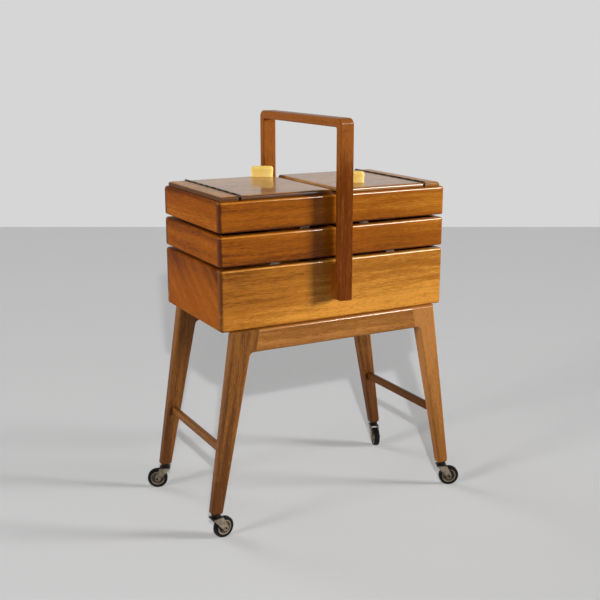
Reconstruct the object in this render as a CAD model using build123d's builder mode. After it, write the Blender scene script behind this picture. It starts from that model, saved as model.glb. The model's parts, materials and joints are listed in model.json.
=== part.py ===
from build123d import *
import os
from math import atan2, cos, degrees, hypot, radians, sin, sqrt

# Driving dimensions in millimetres. X runs along the box, -Y is the front, Z is up from the floor.
BOX_LENGTH = 465.0
BOX_DEPTH = 260.0
BOX_BOTTOM = 386.0
BOX_HEIGHT = 109.5
TRAY_HEIGHT = 53.5
TIER_GAP = 5.5
TRAY_MIDDLE_GAP = 4.0
BOARD = 12.0

# Board edges and floor panels
CORNER_RADIUS = 6.0
TOP_ROUND = 4.5
BOTTOM_ROUND = 3.0
GROOVE = 5.0
PANEL_CLEARANCE = 0.2
BOX_PANEL = 5.0
BOX_FLOOR_RISE = 6.0
TRAY_PANEL = 4.0
TRAY_FLOOR_RISE = 4.0

# Swing arms: flat steel strips just inside the front and back boards, leaning 45 degrees at rest
TRAY_PIVOT_RISE = 16.0
LONG_ARM_TOP_X = 42.0
LINK_SPACING = 57.0
ARM_WIDTH = 13.0
ARM_THICKNESS = 2.0
ARM_GAP = 0.4
ARM_SLOT_CLEARANCE = 1.8

# Shoulder screws of the arms
PIVOT_RADIUS = 2.0
PIVOT_CLEARANCE = 0.05
PIVOT_SHANK_RADIUS = 1.5
PIVOT_SHANK_LENGTH = 8.0
PIVOT_HEAD_RADIUS = 4.0
PIVOT_HEAD_HEIGHT = 1.6
PIVOT_HEAD_ROUND = 0.8
PIVOT_END_PLAY = 0.3
PILOT_CLEARANCE = 0.05

# Lids, hinge strips, piano hinges and knobs
LID_THICKNESS = 8.0
LID_REST_GAP = 0.3
LID_INSET = 7.0
LID_CENTRE_X = 9.0
LID_ROUND = 5.0
LID_UNDER_ROUND = 2.0
HINGE_INSET = 42.0
HINGE_GAP = 5.0
KNUCKLE_RADIUS = 2.2
HINGE_PIN_RADIUS = 1.0
HINGE_PIN_CLEARANCE = 0.05
KNUCKLE_COUNT = 17
KNUCKLE_PLAY = 0.3
LEAF_THICKNESS = 0.8
LEAF_TOP_DROP = 3.0
LEAF_HEIGHT = 4.5
KNOB_LENGTH = 44.0
KNOB_BASE_LENGTH = 40.0
KNOB_DEPTH = 16.0
KNOB_HEIGHT = 21.5
KNOB_CORNER = 6.0
KNOB_ROUND = 3.0
KNOB_TURN = -29.0
LEFT_KNOB_X = -37.0
LEFT_KNOB_Y = 104.0
RIGHT_KNOB_X = 74.0
RIGHT_KNOB_Y = -56.0

# Carrying handle
HANDLE_TOP = 748.0
HANDLE_WIDTH = 28.0
HANDLE_THICKNESS = 16.0
HANDLE_STANDOFF = 13.0
HANDLE_FOOT_RISE = 38.0
HANDLE_FOOT_HEIGHT = 57.0
HANDLE_OUTER_RADIUS = 13.0
HANDLE_INNER_RADIUS = 4.0
HANDLE_ROUND = 3.0
HANDLE_JOINT_DROP = 24.0
HANDLE_SCREW_RADIUS = 2.0
HANDLE_SCREW_DEPTH = 14.0
HANDLE_SCREW_HEAD = 4.5
HANDLE_SCREW_HEAD_HEIGHT = 2.0
HANDLE_SCREW_SPACING = 26.0

# Leg frames
FRAME_PROUD = 7.0
RAIL_HEIGHT = 41.5
RAIL_DEPTH = 22.0
LEG_TOP_INSET = 20.5
LEG_TOP_WIDTH = 41.0
LEG_TOP_DEPTH = 25.0
LEG_SPREAD = 17.5
LEG_FOOT_WIDTH = 23.0
LEG_FOOT_DEPTH = 18.0
LEG_FOOT_Z = 50.0
KNEE_LENGTH = 9.0
KNEE_RADIUS = 9.0
LEG_ROUND = 5.0
STRETCHER_Z = 165.0
STRETCHER_HEIGHT = 16.0
STRETCHER_THICKNESS = 10.0
STRETCHER_TENON = 8.0
STRETCHER_ROUND = 3.0
HOUSING_CLEARANCE = 0.1

# Casters
WHEEL_RADIUS = 20.0
TYRE_WIDTH = 12.0
TYRE_ROUND = 4.0
HUB_RADIUS = 13.0
HUB_WIDTH = 9.0
HUB_BOSS_RADIUS = 5.0
AXLE_RADIUS = 2.0
AXLE_CLEARANCE = 0.05
RIVET_RADIUS = 3.5
RIVET_HEIGHT = 1.0
CASTER_TRAIL = 16.0
FORK_GAP = 14.4
FORK_THICKNESS = 1.6
FORK_EYE_RADIUS = 5.5
CROWN_LENGTH = 20.0
CROWN_THICKNESS = 2.0
CROWN_WHEEL_CLEARANCE = 2.0
CASTER_BOSS_RADIUS = 6.5
CASTER_PLAY = 0.3
STEM_RADIUS = 3.0
STEM_CLEARANCE = 0.05
STEM_LENGTH = 18.0
SOCKET_RADIUS = 4.5
SOCKET_FLANGE_RADIUS = 8.0
SOCKET_FLANGE_HEIGHT = 2.0
FRONT_LEFT_HEADING = 10.0
FRONT_RIGHT_HEADING = -25.0
BACK_LEFT_HEADING = 155.0
BACK_RIGHT_HEADING = -107.0

# Levels and faces worked out from the driving dimensions
HALF_LENGTH = BOX_LENGTH / 2
HALF_DEPTH = BOX_DEPTH / 2
INNER_FACE = HALF_DEPTH - BOARD
BOX_TOP = BOX_BOTTOM + BOX_HEIGHT
TIER_PITCH = TRAY_HEIGHT + TIER_GAP
LOWER_TRAY_BOTTOM = BOX_TOP + TIER_GAP
UPPER_TRAY_BOTTOM = LOWER_TRAY_BOTTOM + TIER_PITCH
UPPER_TRAY_TOP = UPPER_TRAY_BOTTOM + TRAY_HEIGHT
LID_TOP = UPPER_TRAY_TOP + LID_THICKNESS + LID_REST_GAP
LID_HALF_DEPTH = HALF_DEPTH - LID_INSET
HINGE_X = HALF_LENGTH - HINGE_INSET

# Pivots: each tier is one pitch higher and, at rest, one pitch nearer the middle
UPPER_PIVOT_Z = UPPER_TRAY_BOTTOM + TRAY_PIVOT_RISE
LOWER_PIVOT_Z = UPPER_PIVOT_Z - TIER_PITCH
BOX_PIVOT_Z = LOWER_PIVOT_Z - TIER_PITCH
LONG_ARM_LOWER_X = LONG_ARM_TOP_X + TIER_PITCH
LONG_ARM_BOX_X = LONG_ARM_LOWER_X + TIER_PITCH
LOWER_LINK_BOX_X = LONG_ARM_BOX_X - LINK_SPACING
LOWER_LINK_TRAY_X = LONG_ARM_LOWER_X - LINK_SPACING
UPPER_LINK_LOWER_X = LONG_ARM_LOWER_X + LINK_SPACING
UPPER_LINK_UPPER_X = LONG_ARM_TOP_X + LINK_SPACING
ARM_INNER_FACE = INNER_FACE - ARM_GAP - ARM_THICKNESS
SHOULDER_LENGTH = ARM_GAP + ARM_THICKNESS + PIVOT_END_PLAY
ARM_HALF_SLANT = ARM_WIDTH / 2 * sqrt(2)
ARM_SLOT = 2 * (TRAY_PIVOT_RISE - TRAY_FLOOR_RISE + ARM_HALF_SLANT + ARM_SLOT_CLEARANCE)
ARM_SLOT_REACH = INNER_FACE - ARM_INNER_FACE + ARM_SLOT_CLEARANCE + GROOVE

# Handle
HANDLE_OUTER_Y = HALF_DEPTH + HANDLE_STANDOFF + HANDLE_THICKNESS
HANDLE_INNER_TOP = HANDLE_TOP - HANDLE_THICKNESS
HANDLE_INNER_Y = HALF_DEPTH + HANDLE_STANDOFF
HANDLE_BOTTOM = BOX_BOTTOM + HANDLE_FOOT_RISE
HANDLE_FOOT_TOP = HANDLE_BOTTOM + HANDLE_FOOT_HEIGHT
HANDLE_JOINT_Z = HANDLE_TOP - HANDLE_JOINT_DROP
HANDLE_SCREW_MIDDLE = HANDLE_BOTTOM + HANDLE_FOOT_HEIGHT / 2
HANDLE_SCREW_POINTS = [(0, HANDLE_SCREW_MIDDLE + s * HANDLE_SCREW_SPACING / 2) for s in (-1, 1)]

# Leg frame
FRAME_FACE = HALF_DEPTH + FRAME_PROUD
RAIL_BOTTOM = BOX_BOTTOM - RAIL_HEIGHT
LEG_HEIGHT = BOX_BOTTOM - LEG_FOOT_Z
LEG_TOP_OUTER_X = HALF_LENGTH - LEG_TOP_INSET
LEG_TOP_INNER_X = LEG_TOP_OUTER_X - LEG_TOP_WIDTH
LEG_FOOT_X = HALF_LENGTH + LEG_SPREAD
LEG_FOOT_OUTER_X = LEG_FOOT_X + LEG_FOOT_WIDTH / 2
LEG_FOOT_INNER_X = LEG_FOOT_X - LEG_FOOT_WIDTH / 2
LEG_FOOT_Y = FRAME_FACE - LEG_FOOT_DEPTH / 2

# Caster levels
CROWN_BOTTOM = 2 * WHEEL_RADIUS + CROWN_WHEEL_CLEARANCE
CROWN_TOP = CROWN_BOTTOM + CROWN_THICKNESS
SOCKET_BOTTOM = LEG_FOOT_Z - SOCKET_FLANGE_HEIGHT
STEM_TOP = LEG_FOOT_Z + STEM_LENGTH
FORK_OUTER = FORK_GAP / 2 + FORK_THICKNESS

SIDES = {"left": -1, "right": 1}
CORNERS = {
    "front_left": (-1, -1, FRONT_LEFT_HEADING),
    "front_right": (1, -1, FRONT_RIGHT_HEADING),
    "back_left": (-1, 1, BACK_LEFT_HEADING),
    "back_right": (1, 1, BACK_RIGHT_HEADING),
}
FLOOR_UP = (Align.CENTER, Align.CENTER, Align.MIN)
TURNED_TO_Y = (90, 0, 0)

# How edges are picked out: how near a level they lie, and what share of a direction they run along
EDGE_REACH = 1.0
EDGE_MIDDLE = 0.5
EDGE_SHARE = 0.5


def save(piece, name):
    """Label a finished piece and write it under its own name."""
    piece.part.label = name
    export_step(piece.part, f"parts/{name}.step")


def runs_along(edge, direction):
    """Whether an edge, at its middle, runs mainly along a direction."""
    return abs(edge.tangent_at(EDGE_MIDDLE).dot(Vector(direction))) > EDGE_SHARE


def long_boards(x_from, x_to, bottom, height, floor_rise, panel, pilots, through_holes=()):
    """Front and back boards: rounded outer edges, a stopped floor groove and screw holes."""
    length = x_to - x_from
    middle = (x_from + x_to) / 2
    with BuildPart() as boards:
        with BuildSketch(Plane.XY.offset(bottom)) as plan:
            with Locations((middle, BOARD / 2 - HALF_DEPTH)):
                Rectangle(length, BOARD)
            fillet(plan.vertices().group_by(Axis.Y)[0], CORNER_RADIUS)
        extrude(amount=height)
        fillet(boards.faces().sort_by(Axis.Z)[-1].edges().sort_by(Axis.Y)[:-1], TOP_ROUND)
        fillet(boards.faces().sort_by(Axis.Z)[0].edges().sort_by(Axis.Y)[:-1], BOTTOM_ROUND)
        with Locations((middle, -INNER_FACE, bottom + floor_rise)):
            Box(
                length - 2 * BOARD + 2 * GROOVE,
                2 * GROOVE,
                panel + PANEL_CLEARANCE,
                align=FLOOR_UP,
                mode=Mode.SUBTRACT,
            )
        with BuildSketch(Plane.XZ.offset(INNER_FACE)):
            with Locations(*pilots):
                Circle(PIVOT_SHANK_RADIUS + PILOT_CLEARANCE)
        extrude(amount=PIVOT_SHANK_LENGTH, mode=Mode.SUBTRACT)
        if through_holes:
            with BuildSketch(Plane.XZ.offset(INNER_FACE)):
                with Locations(*through_holes):
                    Circle(HANDLE_SCREW_RADIUS + PILOT_CLEARANCE)
            extrude(amount=BOARD, mode=Mode.SUBTRACT)
        mirror(about=Plane.XZ)
    return boards


def end_boards(x_from, x_to, bottom, height, floor_rise, panel):
    """The two end boards that stand between the long boards, grooved for the floor."""
    with BuildPart() as boards:
        with BuildSketch(Plane.XY.offset(bottom)):
            with Locations((x_from + BOARD / 2, 0), (x_to - BOARD / 2, 0)):
                Rectangle(BOARD, 2 * INNER_FACE)
        extrude(amount=height)
        levels = boards.edges().filter_by(Axis.Y).group_by(Axis.Z)
        upper = levels[-1].sort_by(Axis.X)
        lower = levels[0].sort_by(Axis.X)
        fillet([upper[0], upper[-1]], TOP_ROUND)
        fillet([lower[0], lower[-1]], BOTTOM_ROUND)
        with Locations(((x_from + x_to) / 2, 0, bottom + floor_rise)):
            Box(
                x_to - x_from - 2 * BOARD + 2 * GROOVE,
                2 * INNER_FACE,
                panel + PANEL_CLEARANCE,
                align=FLOOR_UP,
                mode=Mode.SUBTRACT,
            )
    return boards


def floor_panel(x_from, x_to, bottom, panel, slot_centres):
    """A floor panel for the grooves, notched at its long edges where arms pass."""
    half_depth = INNER_FACE + GROOVE - PANEL_CLEARANCE
    with BuildPart() as floor:
        with Locations(((x_from + x_to) / 2, 0, bottom)):
            Box(
                x_to - x_from - 2 * BOARD + 2 * GROOVE - 2 * PANEL_CLEARANCE,
                2 * half_depth,
                panel,
                align=FLOOR_UP,
            )
        for x in slot_centres:
            with Locations((x, half_depth, bottom), (x, -half_depth, bottom)):
                Box(ARM_SLOT, 2 * ARM_SLOT_REACH, panel, align=FLOOR_UP, mode=Mode.SUBTRACT)
    return floor


def arm_pair(pivots):
    """A front and a back arm, each a flat strip with round ends and a hole at every pivot."""
    (x_low, z_low), (x_high, z_high) = pivots[0], pivots[-1]
    lean = degrees(atan2(z_high - z_low, x_high - x_low))
    with BuildPart() as arms:
        with BuildSketch(Plane.XZ.offset(ARM_INNER_FACE)):
            with Locations(((x_low + x_high) / 2, (z_low + z_high) / 2)):
                SlotCenterToCenter(hypot(x_high - x_low, z_high - z_low), ARM_WIDTH, rotation=lean)
            with Locations(*pivots):
                Circle(PIVOT_RADIUS + PIVOT_CLEARANCE, mode=Mode.SUBTRACT)
        extrude(amount=ARM_THICKNESS)
        mirror(about=Plane.XZ)
    return arms


def pivot_screws(pivots):
    """Shoulder screws from inside into the front and back boards, one at each pivot."""
    with BuildPart() as screws:
        with BuildSketch(Plane.XZ.offset(INNER_FACE)):
            with Locations(*pivots):
                Circle(PIVOT_SHANK_RADIUS)
        extrude(amount=PIVOT_SHANK_LENGTH)
        with BuildSketch(Plane.XZ.offset(INNER_FACE)):
            with Locations(*pivots):
                Circle(PIVOT_RADIUS)
        extrude(amount=-SHOULDER_LENGTH)
        with BuildSketch(Plane.XZ.offset(INNER_FACE - SHOULDER_LENGTH)):
            with Locations(*pivots):
                Circle(PIVOT_HEAD_RADIUS)
        extrude(amount=-PIVOT_HEAD_HEIGHT)
        rims = screws.edges().filter_by(GeomType.CIRCLE).group_by(Axis.Y)[-1]
        fillet(rims, PIVOT_HEAD_ROUND)
        mirror(about=Plane.XZ)
    return screws


def top_panel(x_from, x_to, bottom, square_x):
    """A lid or hinge strip: a flat board with rounded edges except along the hinge."""
    with BuildPart() as panel:
        with Locations(((x_from + x_to) / 2, 0, bottom)):
            Box(x_to - x_from, 2 * LID_HALF_DEPTH, LID_TOP - bottom, align=FLOOR_UP)
        for face, radius in ((Axis.Z, LID_ROUND), (-Axis.Z, LID_UNDER_ROUND)):
            rim = panel.faces().sort_by(face)[-1].edges()
            fillet(rim.filter_by(lambda edge: abs(edge.center().X - square_x) > LID_ROUND), radius)
    return panel


def hinge_leaf(side, plate_side, first_knuckle, holds_pin):
    """One leaf of a piano hinge: a notched plate on a panel edge and every second knuckle."""
    pitch = 2 * LID_HALF_DEPTH / KNUCKLE_COUNT
    knuckles = range(first_knuckle, KNUCKLE_COUNT, 2)
    axis_x = side * HINGE_X
    plate_x = axis_x + plate_side * (HINGE_GAP - LEAF_THICKNESS) / 2
    middles = [(index + 1 / 2) * pitch - LID_HALF_DEPTH for index in knuckles]
    with BuildPart() as leaf:
        with Locations((plate_x, 0, LID_TOP - LEAF_TOP_DROP - LEAF_HEIGHT)):
            Box(LEAF_THICKNESS, 2 * LID_HALF_DEPTH, LEAF_HEIGHT, align=FLOOR_UP)
        with Locations(*[(plate_x, y, LID_TOP - LEAF_TOP_DROP) for y in middles]):
            Box(LEAF_THICKNESS, pitch - KNUCKLE_PLAY, LEAF_TOP_DROP, align=FLOOR_UP)
        with Locations(*[(axis_x, y, LID_TOP) for y in middles]):
            Cylinder(KNUCKLE_RADIUS, pitch - KNUCKLE_PLAY, rotation=TURNED_TO_Y)
        with Locations((axis_x, 0, LID_TOP)):
            if holds_pin:
                Cylinder(HINGE_PIN_RADIUS, 2 * LID_HALF_DEPTH, rotation=TURNED_TO_Y)
            else:
                bore_radius = HINGE_PIN_RADIUS + HINGE_PIN_CLEARANCE
                Cylinder(bore_radius, BOX_DEPTH, rotation=TURNED_TO_Y, mode=Mode.SUBTRACT)
    return leaf


def lid_knob(x, y):
    """A small pull, wider at its rounded top than at its base, turned across the lid."""
    turn = radians(KNOB_TURN)
    along = (cos(turn), sin(turn), 0)
    across = (sin(turn), -cos(turn), 0)
    with BuildPart() as knob:
        with BuildSketch(Plane(origin=(x, y, LID_TOP), x_dir=along, z_dir=across)) as outline:
            with BuildLine():
                Polyline(
                    (-KNOB_BASE_LENGTH / 2, 0),
                    (KNOB_BASE_LENGTH / 2, 0),
                    (KNOB_LENGTH / 2, KNOB_HEIGHT),
                    (-KNOB_LENGTH / 2, KNOB_HEIGHT),
                    close=True,
                )
            make_face()
            fillet(outline.vertices().group_by(Axis.Y)[-1], KNOB_CORNER)
        extrude(amount=KNOB_DEPTH / 2, both=True)
        rims = knob.edges().filter_by(
            lambda edge: edge.center().Z > LID_TOP + KNOB_ROUND and not runs_along(edge, across)
        )
        fillet(rims, KNOB_ROUND)
    return knob


def handle_piece(keep):
    """The part of the arched handle above or below its glued joint."""
    with BuildPart() as handle:
        with BuildSketch(Plane.YZ) as arch:
            with BuildLine():
                Polyline(
                    (-HANDLE_OUTER_Y, HANDLE_BOTTOM),
                    (-HANDLE_OUTER_Y, HANDLE_TOP),
                    (HANDLE_OUTER_Y, HANDLE_TOP),
                    (HANDLE_OUTER_Y, HANDLE_BOTTOM),
                    (HALF_DEPTH, HANDLE_BOTTOM),
                    (HALF_DEPTH, HANDLE_FOOT_TOP),
                    (HANDLE_INNER_Y, HANDLE_FOOT_TOP + HANDLE_STANDOFF),
                    (HANDLE_INNER_Y, HANDLE_INNER_TOP),
                    (-HANDLE_INNER_Y, HANDLE_INNER_TOP),
                    (-HANDLE_INNER_Y, HANDLE_FOOT_TOP + HANDLE_STANDOFF),
                    (-HALF_DEPTH, HANDLE_FOOT_TOP),
                    (-HALF_DEPTH, HANDLE_BOTTOM),
                    close=True,
                )
            make_face()
            fillet(arch.vertices().group_by(Axis.Y)[-1], HANDLE_OUTER_RADIUS)
            inner_corners = arch.vertices().filter_by(
                lambda corner: abs(corner.Y - HANDLE_INNER_TOP) < EDGE_REACH
            )
            fillet(inner_corners, HANDLE_INNER_RADIUS)
        extrude(amount=HANDLE_WIDTH / 2, both=True)
        rims = handle.edges().filter_by(lambda edge: not runs_along(edge, (1, 0, 0)))
        off_box = rims.filter_by(
            lambda edge: abs(edge.center().Y) > HALF_DEPTH + EDGE_REACH
            or edge.center().Z > HANDLE_JOINT_Z
        )
        fillet(off_box, HANDLE_ROUND)
        with BuildSketch(Plane.XZ):
            with Locations(*HANDLE_SCREW_POINTS):
                Circle(HANDLE_SCREW_RADIUS + PILOT_CLEARANCE)
        extrude(amount=HALF_DEPTH + HANDLE_SCREW_DEPTH, both=True, mode=Mode.SUBTRACT)
        split(bisect_by=Plane.XY.offset(HANDLE_JOINT_Z), keep=keep)
    return handle


def leg_inner_x(z):
    """Distance of a leg's inner edge from the middle at height z."""
    return LEG_TOP_INNER_X + (BOX_BOTTOM - z) / LEG_HEIGHT * (LEG_FOOT_INNER_X - LEG_TOP_INNER_X)


def leg_outer_x(z):
    """Distance of a leg's outer edge from the middle at height z."""
    return LEG_TOP_OUTER_X + (BOX_BOTTOM - z) / LEG_HEIGHT * (LEG_FOOT_OUTER_X - LEG_TOP_OUTER_X)


def joint_x(z):
    """Distance of the slanted joint between rail and leg from the middle at height z."""
    return leg_inner_x(z) - KNEE_LENGTH


def leg_back_y(z):
    """Distance of a leg's inward face from the middle plane at height z."""
    taper = (LEG_TOP_DEPTH - LEG_FOOT_DEPTH) * (BOX_BOTTOM - z) / LEG_HEIGHT
    return FRAME_FACE - LEG_TOP_DEPTH + taper


STRETCHER_X = (leg_inner_x(STRETCHER_Z) + leg_outer_x(STRETCHER_Z)) / 2
STRETCHER_END = leg_back_y(STRETCHER_Z) + STRETCHER_TENON


def leg(side_x, side_y):
    """A splayed, tapered leg with its knee, a stretcher housing and a caster socket hole."""
    knee = (side_x * leg_inner_x(RAIL_BOTTOM), RAIL_BOTTOM)
    with BuildPart() as post:
        with BuildSketch(Plane.XZ.offset(-side_y * FRAME_FACE)) as outline:
            with BuildLine():
                Polyline(
                    (side_x * LEG_TOP_OUTER_X, BOX_BOTTOM),
                    (side_x * LEG_FOOT_OUTER_X, LEG_FOOT_Z),
                    (side_x * LEG_FOOT_INNER_X, LEG_FOOT_Z),
                    knee,
                    (side_x * joint_x(RAIL_BOTTOM), RAIL_BOTTOM),
                    (side_x * joint_x(BOX_BOTTOM), BOX_BOTTOM),
                    close=True,
                )
            make_face()
            fillet(outline.vertices().sort_by_distance(knee)[0], KNEE_RADIUS)
        extrude(amount=side_y * LEG_TOP_DEPTH)
        with BuildSketch(Plane.YZ):
            with BuildLine():
                Polyline(
                    (side_y * leg_back_y(BOX_BOTTOM), BOX_BOTTOM),
                    (side_y * leg_back_y(LEG_FOOT_Z), LEG_FOOT_Z),
                    (side_y * leg_back_y(BOX_BOTTOM), LEG_FOOT_Z),
                    close=True,
                )
            make_face()
        extrude(amount=BOX_LENGTH, both=True, mode=Mode.SUBTRACT)
        long_edges = post.edges().filter_by(
            lambda edge: edge.center().Z < RAIL_BOTTOM + EDGE_REACH
            and not runs_along(edge, (0, 1, 0))
        )
        foot_edges = post.faces().sort_by(Axis.Z)[0].edges().filter_by(Axis.Y)
        face_top = post.edges().filter_by(
            lambda edge: edge.center().Z > BOX_BOTTOM - EDGE_REACH
            and abs(edge.center().Y) > FRAME_FACE - EDGE_REACH
        )
        fillet(long_edges + foot_edges + face_top, LEG_ROUND)
        with Locations((side_x * LEG_FOOT_X, side_y * LEG_FOOT_Y, LEG_FOOT_Z)):
            Cylinder(SOCKET_RADIUS, STEM_LENGTH, align=FLOOR_UP, mode=Mode.SUBTRACT)
        with Locations((side_x * STRETCHER_X, 0, STRETCHER_Z)):
            Box(
                STRETCHER_THICKNESS + 2 * HOUSING_CLEARANCE,
                2 * STRETCHER_END,
                STRETCHER_HEIGHT + 2 * HOUSING_CLEARANCE,
                mode=Mode.SUBTRACT,
            )
    return post


def rail(side_y):
    """The rail between two legs, with rounded edges that run on into the legs."""
    with BuildPart() as bar:
        with BuildSketch(Plane.XZ.offset(-side_y * FRAME_FACE)):
            with BuildLine():
                Polyline(
                    (-joint_x(BOX_BOTTOM), BOX_BOTTOM),
                    (joint_x(BOX_BOTTOM), BOX_BOTTOM),
                    (joint_x(RAIL_BOTTOM), RAIL_BOTTOM),
                    (-joint_x(RAIL_BOTTOM), RAIL_BOTTOM),
                    close=True,
                )
            make_face()
        extrude(amount=side_y * RAIL_DEPTH)
        long_edges = bar.edges().filter_by(Axis.X)
        rounded = long_edges.filter_by(
            lambda edge: edge.center().Z < RAIL_BOTTOM + EDGE_REACH
            or abs(edge.center().Y) > FRAME_FACE - EDGE_REACH
        )
        fillet(rounded, LEG_ROUND)
    return bar


def caster_planes(side_x, side_y, heading):
    """The level plane on a caster's swivel axis at the floor, and the upright plane of its wheel."""
    origin = (side_x * LEG_FOOT_X, side_y * LEG_FOOT_Y, 0)
    ahead = (cos(radians(heading)), sin(radians(heading)), 0)
    across = (sin(radians(heading)), -cos(radians(heading)), 0)
    level = Plane(origin=origin, x_dir=ahead, z_dir=(0, 0, 1))
    upright = Plane(origin=origin, x_dir=ahead, z_dir=across)
    return level, upright


def caster_fork(level, upright):
    """Pressed fork: crown, two cheeks, boss, stem and the riveted axle."""
    with BuildPart() as fork:
        for cheek, thickness in ((FORK_GAP / 2, FORK_THICKNESS), (-FORK_GAP / 2, -FORK_THICKNESS)):
            with BuildSketch(upright.offset(cheek)):
                with Locations((CASTER_TRAIL, WHEEL_RADIUS)):
                    Circle(FORK_EYE_RADIUS)
                with Locations((0, CROWN_TOP - CROWN_THICKNESS / 2)):
                    Rectangle(CROWN_LENGTH, CROWN_THICKNESS)
                make_hull()
            extrude(amount=thickness)
        with BuildSketch(level.offset(CROWN_BOTTOM)):
            Rectangle(CROWN_LENGTH, 2 * FORK_OUTER)
        extrude(amount=CROWN_THICKNESS)
        with BuildSketch(level.offset(CROWN_TOP)):
            Circle(CASTER_BOSS_RADIUS)
        extrude(amount=SOCKET_BOTTOM - CASTER_PLAY - CROWN_TOP)
        with BuildSketch(level.offset(CROWN_TOP)):
            Circle(STEM_RADIUS)
        extrude(amount=STEM_TOP - CASTER_PLAY - CROWN_TOP)
        with BuildSketch(upright):
            with Locations((CASTER_TRAIL, WHEEL_RADIUS)):
                Circle(AXLE_RADIUS)
        extrude(amount=FORK_OUTER, both=True)
        for cheek, height in ((FORK_OUTER, RIVET_HEIGHT), (-FORK_OUTER, -RIVET_HEIGHT)):
            with BuildSketch(upright.offset(cheek)):
                with Locations((CASTER_TRAIL, WHEEL_RADIUS)):
                    Circle(RIVET_RADIUS)
            extrude(amount=height)
    return fork


def caster_hub(upright):
    """Wheel disc with a longer boss round the axle bore."""
    with BuildPart() as hub:
        for radius, width in ((HUB_RADIUS, HUB_WIDTH), (HUB_BOSS_RADIUS, FORK_GAP - 2 * CASTER_PLAY)):
            with BuildSketch(upright):
                with Locations((CASTER_TRAIL, WHEEL_RADIUS)):
                    Circle(radius)
            extrude(amount=width / 2, both=True)
        with BuildSketch(upright):
            with Locations((CASTER_TRAIL, WHEEL_RADIUS)):
                Circle(AXLE_RADIUS + AXLE_CLEARANCE)
        extrude(amount=FORK_GAP, both=True, mode=Mode.SUBTRACT)
    return hub


def caster_tyre(upright):
    """Rubber ring with a rounded tread, pressed on the wheel disc."""
    with BuildPart() as tyre:
        with BuildSketch(upright):
            with Locations((CASTER_TRAIL, WHEEL_RADIUS)):
                Circle(WHEEL_RADIUS)
                Circle(HUB_RADIUS, mode=Mode.SUBTRACT)
        extrude(amount=TYRE_WIDTH / 2, both=True)
        rims = tyre.edges().filter_by(GeomType.CIRCLE).group_by(SortBy.RADIUS)[-1]
        fillet(rims, TYRE_ROUND)
    return tyre


os.makedirs("parts", exist_ok=True)

# Box
box_pivots = [
    (side * x, BOX_PIVOT_Z)
    for side in SIDES.values()
    for x in (LONG_ARM_BOX_X, LOWER_LINK_BOX_X)
]
save(
    long_boards(
        -HALF_LENGTH,
        HALF_LENGTH,
        BOX_BOTTOM,
        BOX_HEIGHT,
        BOX_FLOOR_RISE,
        BOX_PANEL,
        box_pivots,
        HANDLE_SCREW_POINTS,
    ),
    "box_long_boards",
)
save(
    end_boards(-HALF_LENGTH, HALF_LENGTH, BOX_BOTTOM, BOX_HEIGHT, BOX_FLOOR_RISE, BOX_PANEL),
    "box_end_boards",
)
save(floor_panel(-HALF_LENGTH, HALF_LENGTH, BOX_BOTTOM + BOX_FLOOR_RISE, BOX_PANEL, []), "box_floor")
save(pivot_screws(box_pivots), "box_pivot_screws")

# Trays, arms, lids and hinges on each side
for side_name, side in SIDES.items():
    tray_from, tray_to = sorted((side * TRAY_MIDDLE_GAP / 2, side * HALF_LENGTH))
    long_arm_points = [
        (side * LONG_ARM_BOX_X, BOX_PIVOT_Z),
        (side * LONG_ARM_LOWER_X, LOWER_PIVOT_Z),
        (side * LONG_ARM_TOP_X, UPPER_PIVOT_Z),
    ]
    lower_link_points = [
        (side * LOWER_LINK_BOX_X, BOX_PIVOT_Z),
        (side * LOWER_LINK_TRAY_X, LOWER_PIVOT_Z),
    ]
    upper_link_points = [
        (side * UPPER_LINK_LOWER_X, LOWER_PIVOT_Z),
        (side * UPPER_LINK_UPPER_X, UPPER_PIVOT_Z),
    ]
    save(arm_pair(long_arm_points), f"{side_name}_long_arms")
    save(arm_pair(lower_link_points), f"{side_name}_lower_links")
    save(arm_pair(upper_link_points), f"{side_name}_upper_links")

    tiers = {
        "lower": (
            LOWER_TRAY_BOTTOM,
            [long_arm_points[1], lower_link_points[1], upper_link_points[0]],
            [long_arm_points[1][0], lower_link_points[1][0]],
        ),
        "upper": (
            UPPER_TRAY_BOTTOM,
            [long_arm_points[2], upper_link_points[1]],
            [long_arm_points[2][0], upper_link_points[1][0]],
        ),
    }
    for tier, (bottom, pivots, slots) in tiers.items():
        tray = f"{side_name}_{tier}_tray"
        floor_level = bottom + TRAY_FLOOR_RISE
        save(
            long_boards(tray_from, tray_to, bottom, TRAY_HEIGHT, TRAY_FLOOR_RISE, TRAY_PANEL, pivots),
            f"{tray}_long_boards",
        )
        save(
            end_boards(tray_from, tray_to, bottom, TRAY_HEIGHT, TRAY_FLOOR_RISE, TRAY_PANEL),
            f"{tray}_end_boards",
        )
        save(floor_panel(tray_from, tray_to, floor_level, TRAY_PANEL, slots), f"{tray}_floor")
        save(pivot_screws(pivots), f"{tray}_pivot_screws")

    strip_edge = side * (HINGE_X + HINGE_GAP / 2)
    strip_from, strip_to = sorted((strip_edge, side * (HALF_LENGTH - LID_INSET)))
    save(top_panel(strip_from, strip_to, UPPER_TRAY_TOP, strip_edge), f"{side_name}_hinge_strip")
    lid_edge = side * (HINGE_X - HINGE_GAP / 2)
    lid_from, lid_to = sorted((lid_edge, side * LID_CENTRE_X))
    lid = top_panel(lid_from, lid_to, UPPER_TRAY_TOP + LID_REST_GAP, lid_edge)
    save(lid, f"{side_name}_lid")
    save(hinge_leaf(side, side, 0, True), f"{side_name}_hinge_strip_leaf")
    save(hinge_leaf(side, -side, 1, False), f"{side_name}_hinge_lid_leaf")
save(lid_knob(LEFT_KNOB_X, LEFT_KNOB_Y), "left_lid_knob")
save(lid_knob(RIGHT_KNOB_X, RIGHT_KNOB_Y), "right_lid_knob")

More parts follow.
